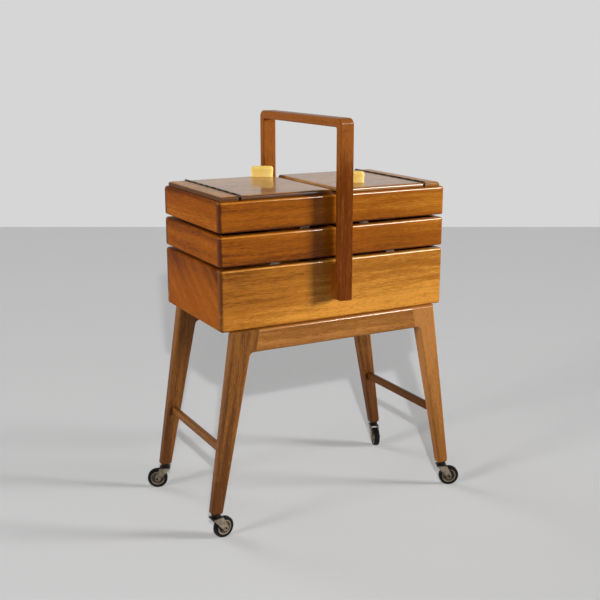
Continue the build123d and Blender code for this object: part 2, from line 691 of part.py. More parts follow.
# Carrying handle and its screws, driven from inside the box
save(handle_piece(Keep.BOTTOM), "handle_posts")
save(handle_piece(Keep.TOP), "handle_grip")
with BuildPart() as handle_screws:
    with BuildSketch(Plane.XZ.offset(INNER_FACE)):
        with Locations(*HANDLE_SCREW_POINTS):
            Circle(HANDLE_SCREW_RADIUS)
    extrude(amount=BOARD + HANDLE_SCREW_DEPTH)
    with BuildSketch(Plane.XZ.offset(INNER_FACE)):
        with Locations(*HANDLE_SCREW_POINTS):
            Circle(HANDLE_SCREW_HEAD)
    extrude(amount=-HANDLE_SCREW_HEAD_HEIGHT)
    head_rims = handle_screws.edges().filter_by(GeomType.CIRCLE).group_by(Axis.Y)[-1]
    fillet(head_rims, PIVOT_HEAD_ROUND)
    mirror(about=Plane.XZ)
save(handle_screws, "handle_screws")

# Leg frames
save(rail(-1), "front_rail")
save(rail(1), "back_rail")
for corner, (side_x, side_y, _) in CORNERS.items():
    save(leg(side_x, side_y), f"{corner}_leg")
with BuildPart() as side_stretchers:
    with Locations((-STRETCHER_X, 0, STRETCHER_Z)):
        Box(STRETCHER_THICKNESS, 2 * STRETCHER_END, STRETCHER_HEIGHT)
    fillet(side_stretchers.edges().filter_by(Axis.Y), STRETCHER_ROUND)
    mirror(about=Plane.YZ)
save(side_stretchers, "side_stretchers")

# Casters
with BuildPart() as caster_sockets:
    with BuildSketch(Plane.XY.offset(SOCKET_BOTTOM)):
        with GridLocations(2 * LEG_FOOT_X, 2 * LEG_FOOT_Y, 2, 2):
            Circle(SOCKET_FLANGE_RADIUS)
    extrude(amount=SOCKET_FLANGE_HEIGHT)
    with BuildSketch(Plane.XY.offset(LEG_FOOT_Z)):
        with GridLocations(2 * LEG_FOOT_X, 2 * LEG_FOOT_Y, 2, 2):
            Circle(SOCKET_RADIUS)
    extrude(amount=STEM_LENGTH)
    with BuildSketch(Plane.XY.offset(SOCKET_BOTTOM)):
        with GridLocations(2 * LEG_FOOT_X, 2 * LEG_FOOT_Y, 2, 2):
            Circle(STEM_RADIUS + STEM_CLEARANCE)
    extrude(amount=SOCKET_FLANGE_HEIGHT + STEM_LENGTH, mode=Mode.SUBTRACT)
save(caster_sockets, "caster_sockets")
for corner, (side_x, side_y, heading) in CORNERS.items():
    level, upright = caster_planes(side_x, side_y, heading)
    save(caster_fork(level, upright), f"{corner}_caster_fork")
    save(caster_hub(upright), f"{corner}_caster_hub")
    save(caster_tyre(upright), f"{corner}_caster_tyre")
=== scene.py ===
import json
from functools import wraps
from math import atan2, cos, pi, radians, sin, tau

import bmesh
import bpy
from bpy.props import FloatProperty, FloatVectorProperty, IntProperty, PointerProperty
from mathutils import Matrix, Vector


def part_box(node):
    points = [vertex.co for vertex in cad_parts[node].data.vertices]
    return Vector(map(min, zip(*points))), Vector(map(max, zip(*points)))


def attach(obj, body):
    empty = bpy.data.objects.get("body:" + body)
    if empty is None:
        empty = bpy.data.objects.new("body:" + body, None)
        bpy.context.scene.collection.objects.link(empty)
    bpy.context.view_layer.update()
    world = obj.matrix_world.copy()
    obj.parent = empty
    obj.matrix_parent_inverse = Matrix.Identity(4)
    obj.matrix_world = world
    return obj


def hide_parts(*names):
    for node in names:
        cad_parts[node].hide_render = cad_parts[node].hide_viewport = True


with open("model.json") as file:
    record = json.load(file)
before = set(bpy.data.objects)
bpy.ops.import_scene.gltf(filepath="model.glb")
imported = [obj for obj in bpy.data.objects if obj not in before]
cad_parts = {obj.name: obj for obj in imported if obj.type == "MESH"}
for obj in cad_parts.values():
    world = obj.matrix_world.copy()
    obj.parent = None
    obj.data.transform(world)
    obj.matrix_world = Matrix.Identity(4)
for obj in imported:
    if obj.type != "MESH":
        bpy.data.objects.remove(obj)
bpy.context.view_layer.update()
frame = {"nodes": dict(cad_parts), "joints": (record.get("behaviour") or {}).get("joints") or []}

bl_info = {
    "name": "Walnut sewing box",
    "version": (1, 0, 0),
    "blender": (4, 5, 0),
    "location": "View3D > Sidebar > Sewing Box",
    "description": "Finishes, fittings and studio for a walnut sewing box on casters",
    "category": "Object",
}

NODES = frame["nodes"]
JOINTS = {entry["name"]: entry for entry in frame["joints"]}
SIDES = {"left": -1, "right": 1}
TIERS = ("lower", "upper")
CORNERS = ("front_left", "front_right", "back_left", "back_right")
MM = 0.001

# Turns that bring the grain of a part onto X
ALONG_X = (0.0, 0.0, 0.0)
ALONG_Y = (0.0, 0.0, -pi / 2)
ALONG_Z = (0.0, pi / 2, 0.0)
SLANTED = (radians(-35), 0.0, -pi / 2)

# Tones of each wood, from the darkest grain to the palest
TONES = {"dark": "Darkest grain", "middle": "Main tone", "light": "Palest grain"}
WOODS = {
    "box": ("the box", (0.130, 0.036, 0.003), (0.345, 0.122, 0.012), (0.62, 0.262, 0.036)),
    "tray": ("the trays", (0.095, 0.021, 0.002), (0.275, 0.076, 0.003), (0.46, 0.165, 0.014)),
    "end": ("the end boards", (0.095, 0.020, 0.002), (0.275, 0.069, 0.003), (0.50, 0.170, 0.014)),
    "frame": ("legs and rails", (0.085, 0.028, 0.006), (0.235, 0.088, 0.016), (0.40, 0.165, 0.040)),
    "handle": ("the handle", (0.060, 0.011, 0.001), (0.120, 0.027, 0.002), (0.27, 0.085, 0.015)),
    "lid": ("the lids", (0.090, 0.031, 0.007), (0.34, 0.140, 0.026), (0.50, 0.220, 0.052)),
    "panel": ("the floor panels", (0.24, 0.105, 0.032), (0.42, 0.215, 0.075), (0.54, 0.310, 0.125)),
}

# How each wooden part is finished, where that differs from plain polished walnut: the wood, the turn and the stretch of
# its grain, how marked and how fine the grain is, and how the part is coated
WALNUT = {
    "box_front": dict(wood="box", turn=ALONG_X, shift=(0.31, 0.17, 0.05), fine=1.5),
    "box_ends": dict(
        wood="end", turn=SLANTED, shift=(0.12, 0.23, -0.31), figure=0.06, coat=0.05, gloss=0.01, tint=-0.02, fine=1.7
    ),
    "tray_front": dict(wood="tray", turn=ALONG_X, figure=0.12, fine=1.6),
    "tray_ends": dict(wood="end", turn=ALONG_Y, coat=0.05, gloss=0.01, tint=-0.04, fine=1.3),
    "panel": dict(wood="panel", turn=ALONG_X, shift=(0.2, 0.3, 0.1), figure=0.1, coat=0.02, gloss=0.08),
    "lid": dict(wood="lid", turn=ALONG_X, figure=0.12, coat=0.45, gloss=0.5, tint=0.2),
    # The hinge strips' pale tint is a painted sheen
    "strip": dict(wood="lid", turn=ALONG_Y, figure=0.2, coat=0.05, gloss=0.35, tint=0.75, polish=0.1),
    "posts": dict(wood="handle", turn=ALONG_Z, shift=(0.1, 0.2, 0.15), coat=0.06, gloss=0.02, fine=1.4),
    "grip": dict(wood="handle", turn=ALONG_Y, shift=(0.3, 0.12, 0.22), tint=0.45, fine=1.4),
    "rail": dict(wood="frame", turn=ALONG_X, shift=(0.2, 0.13, 0.3), tint=0.15, fine=1.4),
    "leg": dict(wood="frame", figure=0.10, coat=0.12, fine=1.9),
    "stretchers": dict(wood="frame", turn=ALONG_Y, shift=(0.1, 0.19, 0.12), tint=-0.15, fine=1.4),
}
COAT_IOR = 1.8

# The stretch of grain that trays, lids and legs are cut from, and how it changes with the row, the side or the lean
TRAY_GRAIN, ROW_GRAIN, SIDE_GRAIN = Vector((0.0, 0.21, 0.0)), Vector((0.4, 0.09, -0.14)), Vector((0.13, 0.0, 0.08))
LID_GRAIN, LID_SIDE_GRAIN = Vector((0.0, 0.11, 0.0)), Vector((0.2, 0.0, 0.27))
LEG_GRAIN, LEG_LEAN_GRAIN = Vector((0.2, 0.0, 0.21)), Vector((0.0, 0.1, 0.0))
# Tone of each leg, set to how bright each one looks: painted light and shade, palest on the main light's side
LEG_LIGHT_AND_SHADE = {"front_left": -0.36, "front_right": 0.15, "back_left": -0.36, "back_right": -0.44}

# Changes of tone: the axis, where a function doesn't give it, the start and the stop of the change, and its size
BOX_SHADE = ("X", 0.05, -0.20, -0.38)
BOX_PALE_FOOT = 0.54
# Painted shade along the boards' lower edge, over the gap between tiers, in the second of these
BOARD_FOOT, BOARD_EDGE_SHADE = (18.0 * MM, 2.0 * MM, -0.14), (4.0 * MM, 1.0 * MM, -0.30)
END_DARKENING = (5.0 * MM, 1.5 * MM, -0.40)
TRAY_SHADE_REACH, TRAY_SHADE = 0.22, 0.14
# Painted shadow of the tier above, over the end boards' upper half
END_TOP_SHADOW = -0.22
POST_SHADE = ("Y", -0.05, 0.05, 0.28)
POST_TOP, POST_TOP_TONE = 0.11, 0.36
STRETCHER_SHADE = ("X", 0.0, 0.15, -0.45)
LEG_RISE_TONE = 0.26
LEG_FOOT, LEG_FOOT_TONE = 0.12, -0.14

# Polished upper edge of boards and rails, with a painted highlight, and the lids' rims, with painted shade: where they
# start and stop, and their tone
HIGHLIGHT_BAND_DEPTHS = (4.6 * MM, 3.4 * MM, 1.6 * MM, 0.6 * MM)
# Painted highlight: the paler tone in the band of the edge's rounding that faces the gleam light
EDGE_HIGHLIGHT_TONE = 0.6
LID_POLISH = {"left": 0.12, "right": 1.0}
LID_BLUR = {"left": 0.06, "right": 0.08}
LID_RIM_START, LID_RIM_STOP = (0.2 * MM, 1.0 * MM), (2.0 * MM, 0.4 * MM)
# Painted shade on the lids' rounded rims, far deeper on the left lid, and deeper still on the hinge strips' rims
LID_RIM_SHADE = {"left": -0.95, "right": -0.20}
STRIP_RIM_SHADE = -0.7

# Layers of the grain: how far each is squeezed along the grain, and its noise's scale, detail and roughness
GRAIN_LAYERS = {
    "broad": (0.12, 16.0, 2.0, 0.5),
    "streak": (0.04, 210.0, 3.0, 0.6),
    "line": (0.07, 560.0, 3.0, 0.7),
    "pore": (0.08, 800.0, 2.0, 0.5),
}
BROAD_SHARE, STREAK_SHARE, LINE_SHARE = 0.75, 0.5, 0.9
DRIFT_SQUEEZE, DRIFT_REACH = 0.4, 0.03
BAND_SQUEEZE = 0.10
PORE_EDGES, PORE_DARKNESS, PORE_DULLNESS = (0.54, 0.66), 0.45, 0.18
TONE_REACH = 0.45
WOOD_ROUGHNESS, STREAK_DULLNESS, STREAK_HEIGHT = 0.26, 0.16, 0.35
WOOD_RELIEF, WOOD_BUMP = 0.00012, 0.35
WEAR_DULLNESS, WEAR_BUMP = 0.45, 0.4

# Dirt that gathers on the finishes
BRASS_DIRT = (0.010, 0.007, 0.005)
SCREW_DIRT = (0.12, 0.10, 0.08)
LINK_DIRT = (0.030, 0.022, 0.017)
ARM_DIRT = (0.05, 0.04, 0.03)
SOCKET_DIRT = (0.05, 0.035, 0.025)
HOLLOW_DIRT = (0.02, 0.014, 0.010)
TYRE_DIRT = (0.025, 0.023, 0.021)

# Casters: the dark top of the forks, ribs and grime of the discs, and half profiles of radius and place in mm
FORK_DARK = (7.0 * MM, 5.0 * MM)
RIB_RADIUS, RIB_PITCH = 10.25 * MM, 2.7 * MM
GRIME_INSIDE, GRIME_OUTSIDE = (5.0 * MM, 6.0 * MM), (10.5 * MM, 12.3 * MM)
HOLLOW_HEIGHT, HOLLOW_SEAT = 0.3 * MM, 0.1 * MM
LATHE_STEPS = 72
DISC_FACE = [(2.05, 6.9), (4.6, 6.9), (5.0, 6.5), (5.0, 4.1), (5.6, 3.6), (6.8, 3.6), (7.1, 4.4), (8.0, 4.4)]
DISC_FACE += [(8.3, 3.6), (9.5, 3.6), (9.8, 4.4), (10.7, 4.4), (11.0, 3.6), (12.2, 3.6), (12.5, 4.5), (14.4, 4.5)]
TYRE_FACE = [(14.4, 5.4), (14.8, 5.8), (15.3, 6.0)]
TYRE_FACE += [(16 + 4 * sin(radians(step)), 2 + 4 * cos(radians(step))) for step in range(0, 91, 15)]
TYRE_FACE += [(20.0, 0.6), (19.7, 0.3)]

# Knobs: points round a layer, layers in the side and in the rim, how square they are, and the bevelled foot
KNOB_AROUND, KNOB_LAYERS, KNOB_SQUARENESS = 72, 6, 0.4
KNOB_FOOT_INSET, KNOB_FOOT_RISE = 0.5 * MM, 0.7 * MM
SHARP_ANGLE = radians(35)

# Screws and rivet rims: sizes that their trees ask for, shares of the head's radius or height, and facets
FACING = "facing"
SLOT_SEED = 7
SCREW_SIZES = ("Head Radius", "Head Height", "Shoulder Radius", "Shoulder Length")
HEAD_TAPER, HEAD_OVERLAP, SLOT_LENGTH, SLOT_WIDTH = 0.78, 0.3, 3.0, 0.26
HEAD_FACETS, STEM_FACETS = 24, 20
RIM_FACETS = {"Ring Radius": 32, "Wire Radius": 12}

# Sockets that share a name with others and are found by their number
MIX_INPUTS, MIX_RESULT = (0, 6, 7), 2
RANDOM_LOW, RANDOM_HIGH, RANDOM_FLOAT = 2, 3, 1

# Studio: each lamp's degrees right of the front, above level and across
SUN_LAMPS = {
    "right_light": (58.0, 10.5, 14.0),
    "edge_light": (39.0, 26.0, 14.0),
    "left_light": (-81.0, 12.0, 16.0),
    "front_light": (-26.0, 22.0, 3.0),
    "back_light": (208.0, 20.0, 30.0),
}
GLEAM_LAMP = "edge_light"
LAMP_DISTANCE = 3.0
FLOOR_LAMP_AIM, FLOOR_LAMP_DISTANCE, FLOOR_LAMP_RADIUS = Vector((0.0, 0.0, 0.4)), 2.5, 0.03
FLOOR_HALF_WIDTH = 8.0
FLOOR_CLOUD = 0.98
WALL_EDGES = (0.55, 0.85)
SENSOR_WIDTH = 36.0
IMAGE_PIXELS = 600


def colour_property(name, description, default):
    """A colour that a user would change."""
    return FloatVectorProperty(
        name=name, description=description, default=default, subtype="COLOR", size=3, min=0.0, max=1.0
    )


def length_property(name, description, default):
    """A length in metres that a user would change."""
    return FloatProperty(
        name=name, description=description, default=default, min=0.0, subtype="DISTANCE", unit="LENGTH"
    )


def angle_property(name, description, degrees):
    """An angle that a user would change."""
    return FloatProperty(name=name, description=description, default=radians(degrees), subtype="ANGLE")


def strength_property(name, description, default):
    """A strength of light that a user would change."""
    return FloatProperty(name=name, description=description, default=default, min=0.0)


class WalnutFinish(bpy.types.PropertyGroup):
    """Size of the wood's grain, and the three tones of each wood, which are added below."""

    grain_size: FloatProperty(
        name="Grain size", description="Scale of the grain pattern", default=1.0, min=0.1, max=5.0
    )


WalnutFinish.__annotations__.update(
    (f"{wood}_{tone}", colour_property(f"{wood} {tone}".capitalize(), f"{words} of {part}", colour))
    for wood, (part, *colours) in WOODS.items()
    for (tone, words), colour in zip(TONES.items(), colours)
)


class MetalFinish(bpy.types.PropertyGroup):
    """Colours of the metal, rubber and resin parts."""

    long_arm: colour_property("Long arms", "Flat rolled steel strips", (0.62, 0.55, 0.45))
    # The links are the long arms' steel, painted near black for the shade they lie in between the tiers
    arm: colour_property("Links", "Flat darkened steel strips", (0.028, 0.024, 0.020))
    screw: colour_property("Screws", "Turned steel screws", (0.42, 0.39, 0.35))
    # The two hinge leaves are one brass, the strip's painted pale and the lid's dark, for the lit and shaded dashes
    # along the hinge: painted light and shade
    hinge: colour_property("Lid leaf", "Darkened brass of the hinge leaf on the lid", (0.030, 0.020, 0.012))
    hinge_strip: colour_property("Strip leaf", "Rubbed brass of the hinge leaf on the strip", (0.19, 0.135, 0.080))
    fork: colour_property("Forks", "Dulled plating of the caster forks", (0.34, 0.28, 0.20))
    fork_soil: colour_property("Fork rust", "Rust and grime on the caster forks", (0.060, 0.034, 0.020))
    socket: colour_property("Sockets", "Blackened caster sockets", (0.016, 0.014, 0.013))
    # Near black: painted shade in the rivets' holes, with their grime
    hollow: colour_property("Rivet hollows", "Grime in the hollow rivets", (0.008, 0.006, 0.005))
    disc: colour_property("Wheel discs", "Ribs of the moulded wheel discs", (0.40, 0.32, 0.23))
    disc_soil: colour_property("Disc grime", "Grime between the ribs of the discs", (0.045, 0.032, 0.022))
    tyre: colour_property("Tyres", "Black rubber", (0.006, 0.006, 0.006))
    knob: colour_property("Knobs", "Butterscotch resin", (1.0, 0.68, 0.165))
    knob_pale: colour_property("Knob clouds", "Paler clouds in the resin", (1.0, 0.77, 0.28))


class FittingSizes(bpy.types.PropertyGroup):
    """Sizes of the small fittings."""

    pivot_head: length_property("Pivot head", "Radius of a pivot screw's head", 4.0 * MM)
    pivot_head_height: length_property("Pivot head height", "Height of a pivot screw's head", 1.6 * MM)
    pivot_shoulder: length_property("Pivot shoulder", "Radius that an arm turns on", 2.0 * MM)
    pivot_shoulder_length: length_property("Shoulder length", "From the board to the screw's head", 2.7 * MM)
    handle_head: length_property("Handle screw", "Radius of a handle screw's head", 4.5 * MM)
    handle_head_height: length_property("Handle screw height", "Height of a handle screw's head", 2.0 * MM)
    hinge_head: length_property("Hinge screw", "Radius of a hinge screw's head", 1.6 * MM)
    hinge_head_height: length_property("Hinge screw height", "Height of a hinge screw's head", 0.5 * MM)
    hinge_screws: IntProperty(
        name="Hinge screws", description="Screws along each hinge leaf", default=9, min=2, max=40
    )
    leaf_thickness: length_property("Leaf thickness", "Thickness of a hinge leaf", 0.8 * MM)
    leaf_height: length_property("Leaf height", "Height of a hinge leaf's plate", 4.5 * MM)
    screw_seat: length_property("Screw seat", "How far a surface screw is let in", 0.4 * MM)
    rivet_reach: length_property("Rivet reach", "From a wheel's middle to the rivet's face", 9.8 * MM)
    rivet_ring: length_property("Rivet ring", "Radius of the rolled rim of a rivet", 2.8 * MM)
    rivet_wire: length_property("Rivet rim", "Thickness radius of the rolled rim", 0.65 * MM)
    knob_length: length_property("Knob length", "Length of a knob at its top", 44.0 * MM)
    knob_base: length_property("Knob base", "Length of a knob at the lid", 42.0 * MM)
    knob_depth: length_property("Knob depth", "Thickness of a knob", 16.0 * MM)
    knob_round: length_property("Knob rounding", "Rounding of a knob's upper rim", 6.0 * MM)
    knob_shoulder: length_property("Knob shoulder", "Rounding of a knob's two upper ends", 6.0 * MM)
    knob_waist: length_property("Knob waist", "Depth of the finger hollow in a knob's sides", 0.4 * MM)
    knob_turn: angle_property("Knob turn", "Turn of a knob on its lid", -29.0)


class StageSettings(bpy.types.PropertyGroup):
    """Camera, floor and lights."""

    camera_turn: angle_property("Camera turn", "Turn of the camera round the box", -28.31)
    camera_rise: angle_property("Camera rise", "Angle of the camera above level", 13.94)
    camera_distance: length_property("Camera distance", "From the camera to its aim", 1.9138)
    aim_x: FloatProperty(name="Aim X", description="Aim of the camera along the box", default=-0.00822, unit="LENGTH")
    aim_height: length_property("Aim height", "Aim of the camera above the floor", 0.39123)
    focal_pixels: FloatProperty(
        name="Focal length", description="Focal length in pixels of a 600 pixel image", default=982.54, min=100.0
    )
    wall_colour: colour_property("Wall", "Pale grey wall behind", (0.672, 0.672, 0.672))
    floor_colour: colour_property("Floor", "Pale grey floor", (0.545, 0.545, 0.545))
    floor_bounce: colour_property("Floor bounce", "Grey that the floor throws back on the box", (0.25, 0.25, 0.25))
    room_colour: colour_property("Room", "Dim room that polished parts reflect", (0.07, 0.068, 0.066))
    floor_end: length_property("Floor end", "From the camera to where floor meets wall", 4.99)
    right_light: strength_property("Right light", "Strength of the main light", 5.3)
    edge_light: strength_property("Edge light", "Strength of the gleam on the edges", 1.1)
    left_light: strength_property("Left light", "Strength of the light on the ends", 2.4)
    front_light: strength_property("Front light", "Strength of the light by the camera", 0.15)
    back_light: strength_property("Back light", "Strength of the light behind", 1.2)
    floor_light: strength_property("Floor light", "Power of the light on the floor", 24.6)
    room_level: strength_property("Room light", "Even light from all round", 0.14)


def plug(tree, socket, value):
    """Give a socket a link, a colour without its alpha, or a plain value."""
    if isinstance(value, bpy.types.NodeSocket):
        tree.links.new(value, socket)
    elif socket.type == "RGBA":
        socket.default_value = (*value, 1.0)
    else:
        socket.default_value = value


def new_node(tree, kind, label="", **settings):
    """Add a node to a tree and set it up."""
    node = tree.nodes.new(kind)
    node.label = label
    for key, value in settings.items():
        setattr(node, key, value)
    return node


def feed(tree, node, **inputs):
    """Give a node's inputs, named with underscores for spaces, a value or a link."""
    for key, value in inputs.items():
        plug(tree, node.inputs[key.replace("_", " ")], value)
    return node


def fed_node(tree, kind, **inputs):
    """Add a node to a tree and give its inputs."""
    return feed(tree, new_node(tree, kind), **inputs)


def math_node(tree, operation, *values, kind="ShaderNodeMath", result="Value"):
    """A math node's output for values or sockets."""
    node = new_node(tree, kind, operation=operation)
    for socket, value in zip(node.inputs, values):
        plug(tree, socket, value)
    return node.outputs[result]


def vector_math(tree, operation, *values, result="Vector"):
    """A vector math node's output for vectors or sockets."""
    return math_node(tree, operation, *values, kind="ShaderNodeVectorMath", result=result)


def mix_colours(tree, factor, first, second):
    """A colour mix node's output."""
    node = new_node(tree, "ShaderNodeMix", data_type="RGBA")
    for index, value in zip(MIX_INPUTS, (factor, first, second)):
        plug(tree, node.inputs[index], value)
    return node.outputs[MIX_RESULT]


def noise(tree, vector, scale, detail, roughness=0.5):
    """A noise texture's value."""
    node = fed_node(tree, "ShaderNodeTexNoise", Vector=vector, Scale=scale, Detail=detail, Roughness=roughness)
    return node.outputs["Fac"]


def squeezed(tree, place, share):
    """The place, squeezed along the grain so that a pattern runs long in it."""
    return vector_math(tree, "MULTIPLY", place, (share, 1.0, 1.0))


def remap(tree, value, low, high, to_low=0.0, to_high=1.0):
    """A smooth step of a value from one range to another."""
    node = new_node(tree, "ShaderNodeMapRange", interpolation_type="SMOOTHSTEP")
    feed(tree, node, Value=value, From_Min=low, From_Max=high, To_Min=to_low, To_Max=to_high)
    return node.outputs["Result"]


def made_once(build):
    """A node group that is built on its first use and found by its name after that."""

    @wraps(build)
    def group():
        return bpy.data.node_groups.get(build.__name__) or build(build.__name__)

    return group


def new_group(name, colours, values):
    """An empty shader group that takes a place, colours and values, with its inputs and its output node."""
    group = bpy.data.node_groups.new(name, "ShaderNodeTree")
    kinds = {"Vector": "NodeSocketVector"}
    kinds |= dict.fromkeys(colours, "NodeSocketColor") | dict.fromkeys(values, "NodeSocketFloat")
    for socket, kind in kinds.items():
        group.interface.new_socket(socket, in_out="INPUT", socket_type=kind)
    for socket, kind in (("Color", "Color"), ("Roughness", "Float"), ("Height", "Float")):
        group.interface.new_socket(socket, in_out="OUTPUT", socket_type=f"NodeSocket{kind}")
    return group, group.nodes.new("NodeGroupInput").outputs, group.nodes.new("NodeGroupOutput")


@made_once
def walnut_figure(name):
    """Straight walnut grain along X: broad tone, soft growth bands, streaks, fine lines and open pores."""
    group, given, result = new_group(name, ("Dark", "Middle", "Light"), ("Figure", "Tint"))
    place = given["Vector"]
    drift = new_node(group, "ShaderNodeTexNoise", "slow drift of the grain")
    feed(group, drift, Vector=squeezed(group, place, DRIFT_SQUEEZE), Scale=6.0, Detail=2.0)
    centred = vector_math(group, "SUBTRACT", drift.outputs["Color"], (0.5, 0.5, 0.5))
    grain = vector_math(group, "MULTIPLY_ADD", centred, (0.0, DRIFT_REACH, DRIFT_REACH), place)

    broad, streak, line, pore = (
        noise(group, squeezed(group, grain, share), *pattern) for share, *pattern in GRAIN_LAYERS.values()
    )
    bands = new_node(group, "ShaderNodeTexWave", "growth bands", wave_type="RINGS", rings_direction="X")
    feed(group, bands, Vector=squeezed(group, grain, BAND_SQUEEZE), Scale=12.0)
    feed(group, bands, Distortion=6.0, Detail=3.0, Detail_Scale=1.4)
    pores = remap(group, pore, *PORE_EDGES)

    tone = given["Tint"]
    for layer, share in (
        (broad, BROAD_SHARE),
        (bands.outputs["Fac"], given["Figure"]),
        (streak, STREAK_SHARE),
        (line, LINE_SHARE),
    ):
        tone = math_node(group, "MULTIPLY_ADD", math_node(group, "SUBTRACT", layer, 0.5), share, tone)
    lower = mix_colours(group, remap(group, tone, -TONE_REACH, 0.0), given["Dark"], given["Middle"])
    upper = mix_colours(group, remap(group, tone, 0.0, TONE_REACH), lower, given["Light"])
    pitted = mix_colours(group, math_node(group, "MULTIPLY", pores, PORE_DARKNESS), upper, given["Dark"])
    dulled = math_node(group, "MULTIPLY_ADD", streak, STREAK_DULLNESS, WOOD_ROUGHNESS)
    rough = math_node(group, "MULTIPLY_ADD", pores, PORE_DULLNESS, dulled)
    height = math_node(group, "SUBTRACT", math_node(group, "MULTIPLY", streak, STREAK_HEIGHT), pores)
    feed(group, result, Color=pitted, Roughness=rough, Height=height)
    return group


@made_once
def handling_wear(name):
    """Uneven handling: dull smears, small scuffs and specks over any hard finish."""
    group, given, result = new_group(name, ("Color", "Dirt"), ("Amount", "Roughness"))
    place = given["Vector"]
    smear = remap(group, noise(group, place, scale=60.0, detail=4.0, roughness=0.6), low=0.42, high=0.72)
    specks = remap(group, noise(group, place, scale=700.0, detail=2.0), low=0.62, high=0.74)
    soiled = math_node(group, "MULTIPLY", math_node(group, "MAXIMUM", smear, specks), given["Amount"])
    colour = mix_colours(group, soiled, given["Color"], given["Dirt"])
    dulled = math_node(group, "MULTIPLY_ADD", soiled, WEAR_DULLNESS, given["Roughness"])
    feed(group, result, Color=colour, Roughness=dulled, Height=math_node(group, "SUBTRACT", smear, specks))
    return group


def new_material(name):
    """A node material with its Principled shader and Object coordinates."""
    material = bpy.data.materials.new(name)
    material.use_nodes = True
    tree = material.node_tree
    return material, tree, tree.nodes["Principled BSDF"], new_node(tree, "ShaderNodeTexCoord").outputs["Object"]


def take_finish(tree, shader, finish, distance, strength):
    """Give a shader a group's colour and roughness, and the group's height as a bump."""
    colour, roughness, height = (finish.outputs[output] for output in ("Color", "Roughness", "Height"))
    bump = fed_node(tree, "ShaderNodeBump", Height=height, Distance=distance, Strength=strength)
    feed(tree, shader, Base_Color=colour, Roughness=roughness, Normal=bump.outputs["Normal"])


def tone_change(tree, place, tints):
    """Sum of the changes of tone that set in along an axis, each from a start to a stop."""
    axes = fed_node(tree, "ShaderNodeSeparateXYZ", Vector=place).outputs
    total, *others = (remap(tree, axes[axis], start, stop, to_high=change) for axis, start, stop, change in tints)
    for step in others:
        total = math_node(tree, "ADD", total, step)
    return total


def walnut(
    name, wood, turn, shift, figure=0.14, coat=0.1, coat_roughness=0.1, gloss=0.05, tint=0.0, fine=1.0,
    tints=(), edge=None, polish=1.0,
):
    """Polished walnut whose grain runs along the axis that the turn brings onto X, with a glossier edge whose change of
    tone paints a highlight on upper edges and shade on the lids' rims.
    """
    finish = bpy.context.scene.sewing_box_wood
    dark, middle, light = (getattr(finish, f"{wood}_{tone}") for tone in TONES)
    material, tree, shader, place = new_material(name)
    scale = fine / finish.grain_size
    mapping = fed_node(tree, "ShaderNodeMapping", Vector=place, Location=shift, Rotation=turn, Scale=[scale] * 3)
    if edge:
        first, full, last, end, change = edge
        # The edge's change of tone is painted light: a highlight on upper edges, shade on the lids' rims
        tints = [*tints, ("Z", first, full, change), ("Z", last, end, -change)]
        gain = polish - coat
        gleam = tone_change(tree, place, [("Z", first, full, gain), ("Z", last, end, -gain)])
        coat = math_node(tree, "ADD", gleam, coat)
    if tints:
        tint = math_node(tree, "ADD", tone_change(tree, place, tints), tint)
    grain = new_node(tree, "ShaderNodeGroup", node_tree=walnut_figure())
    feed(tree, grain, Vector=mapping.outputs[0], Dark=dark, Middle=middle, Light=light, Figure=figure, Tint=tint)
    take_finish(tree, shader, grain, WOOD_RELIEF, WOOD_BUMP)
    feed(tree, shader, Coat_Weight=coat, Coat_Roughness=coat_roughness, Coat_IOR=COAT_IOR, Specular_IOR_Level=gloss)
    return material


def upper_edge(node):
    """The polished rounding of a part's upper edge, paler there as a painted highlight: where it sets in and ends, and
    its change of tone.
    """
    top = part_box(node)[1].z
    return *(top - depth for depth in HIGHLIGHT_BAND_DEPTHS), EDGE_HIGHLIGHT_TONE


def board_tints(node):
    """Darker foot and ends of long boards, and painted shade along their lower edge."""
    low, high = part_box(node)
    tints = [("Z", low.z + start, low.z + stop, change) for start, stop, change in (BOARD_FOOT, BOARD_EDGE_SHADE)]
    start, stop, change = END_DARKENING
    return [*tints, ("X", low.x + start, low.x + stop, change), ("X", high.x - start, high.x - stop, change)]


def end_tints(node):
    """End boards that darken towards their upper edge: painted shadow of the tier above."""
    low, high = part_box(node)
    return [("Z", (low.z + high.z) / 2, high.z, END_TOP_SHADOW)]


def worn(name, colour, dirt, amount, roughness, metallic=0.0, relief=0.00005, clear=0.0, gloss=0.5):
    """A plain finish with handling wear: metal, rubber or resin."""
    material, tree, shader, place = new_material(name)
    wear = new_node(tree, "ShaderNodeGroup", node_tree=handling_wear())
    feed(tree, wear, Vector=place, Color=colour, Dirt=dirt, Amount=amount, Roughness=roughness)
    take_finish(tree, shader, wear, relief, WEAR_BUMP)
    feed(tree, shader, Metallic=metallic, Coat_Weight=clear, Specular_IOR_Level=gloss)
    return material


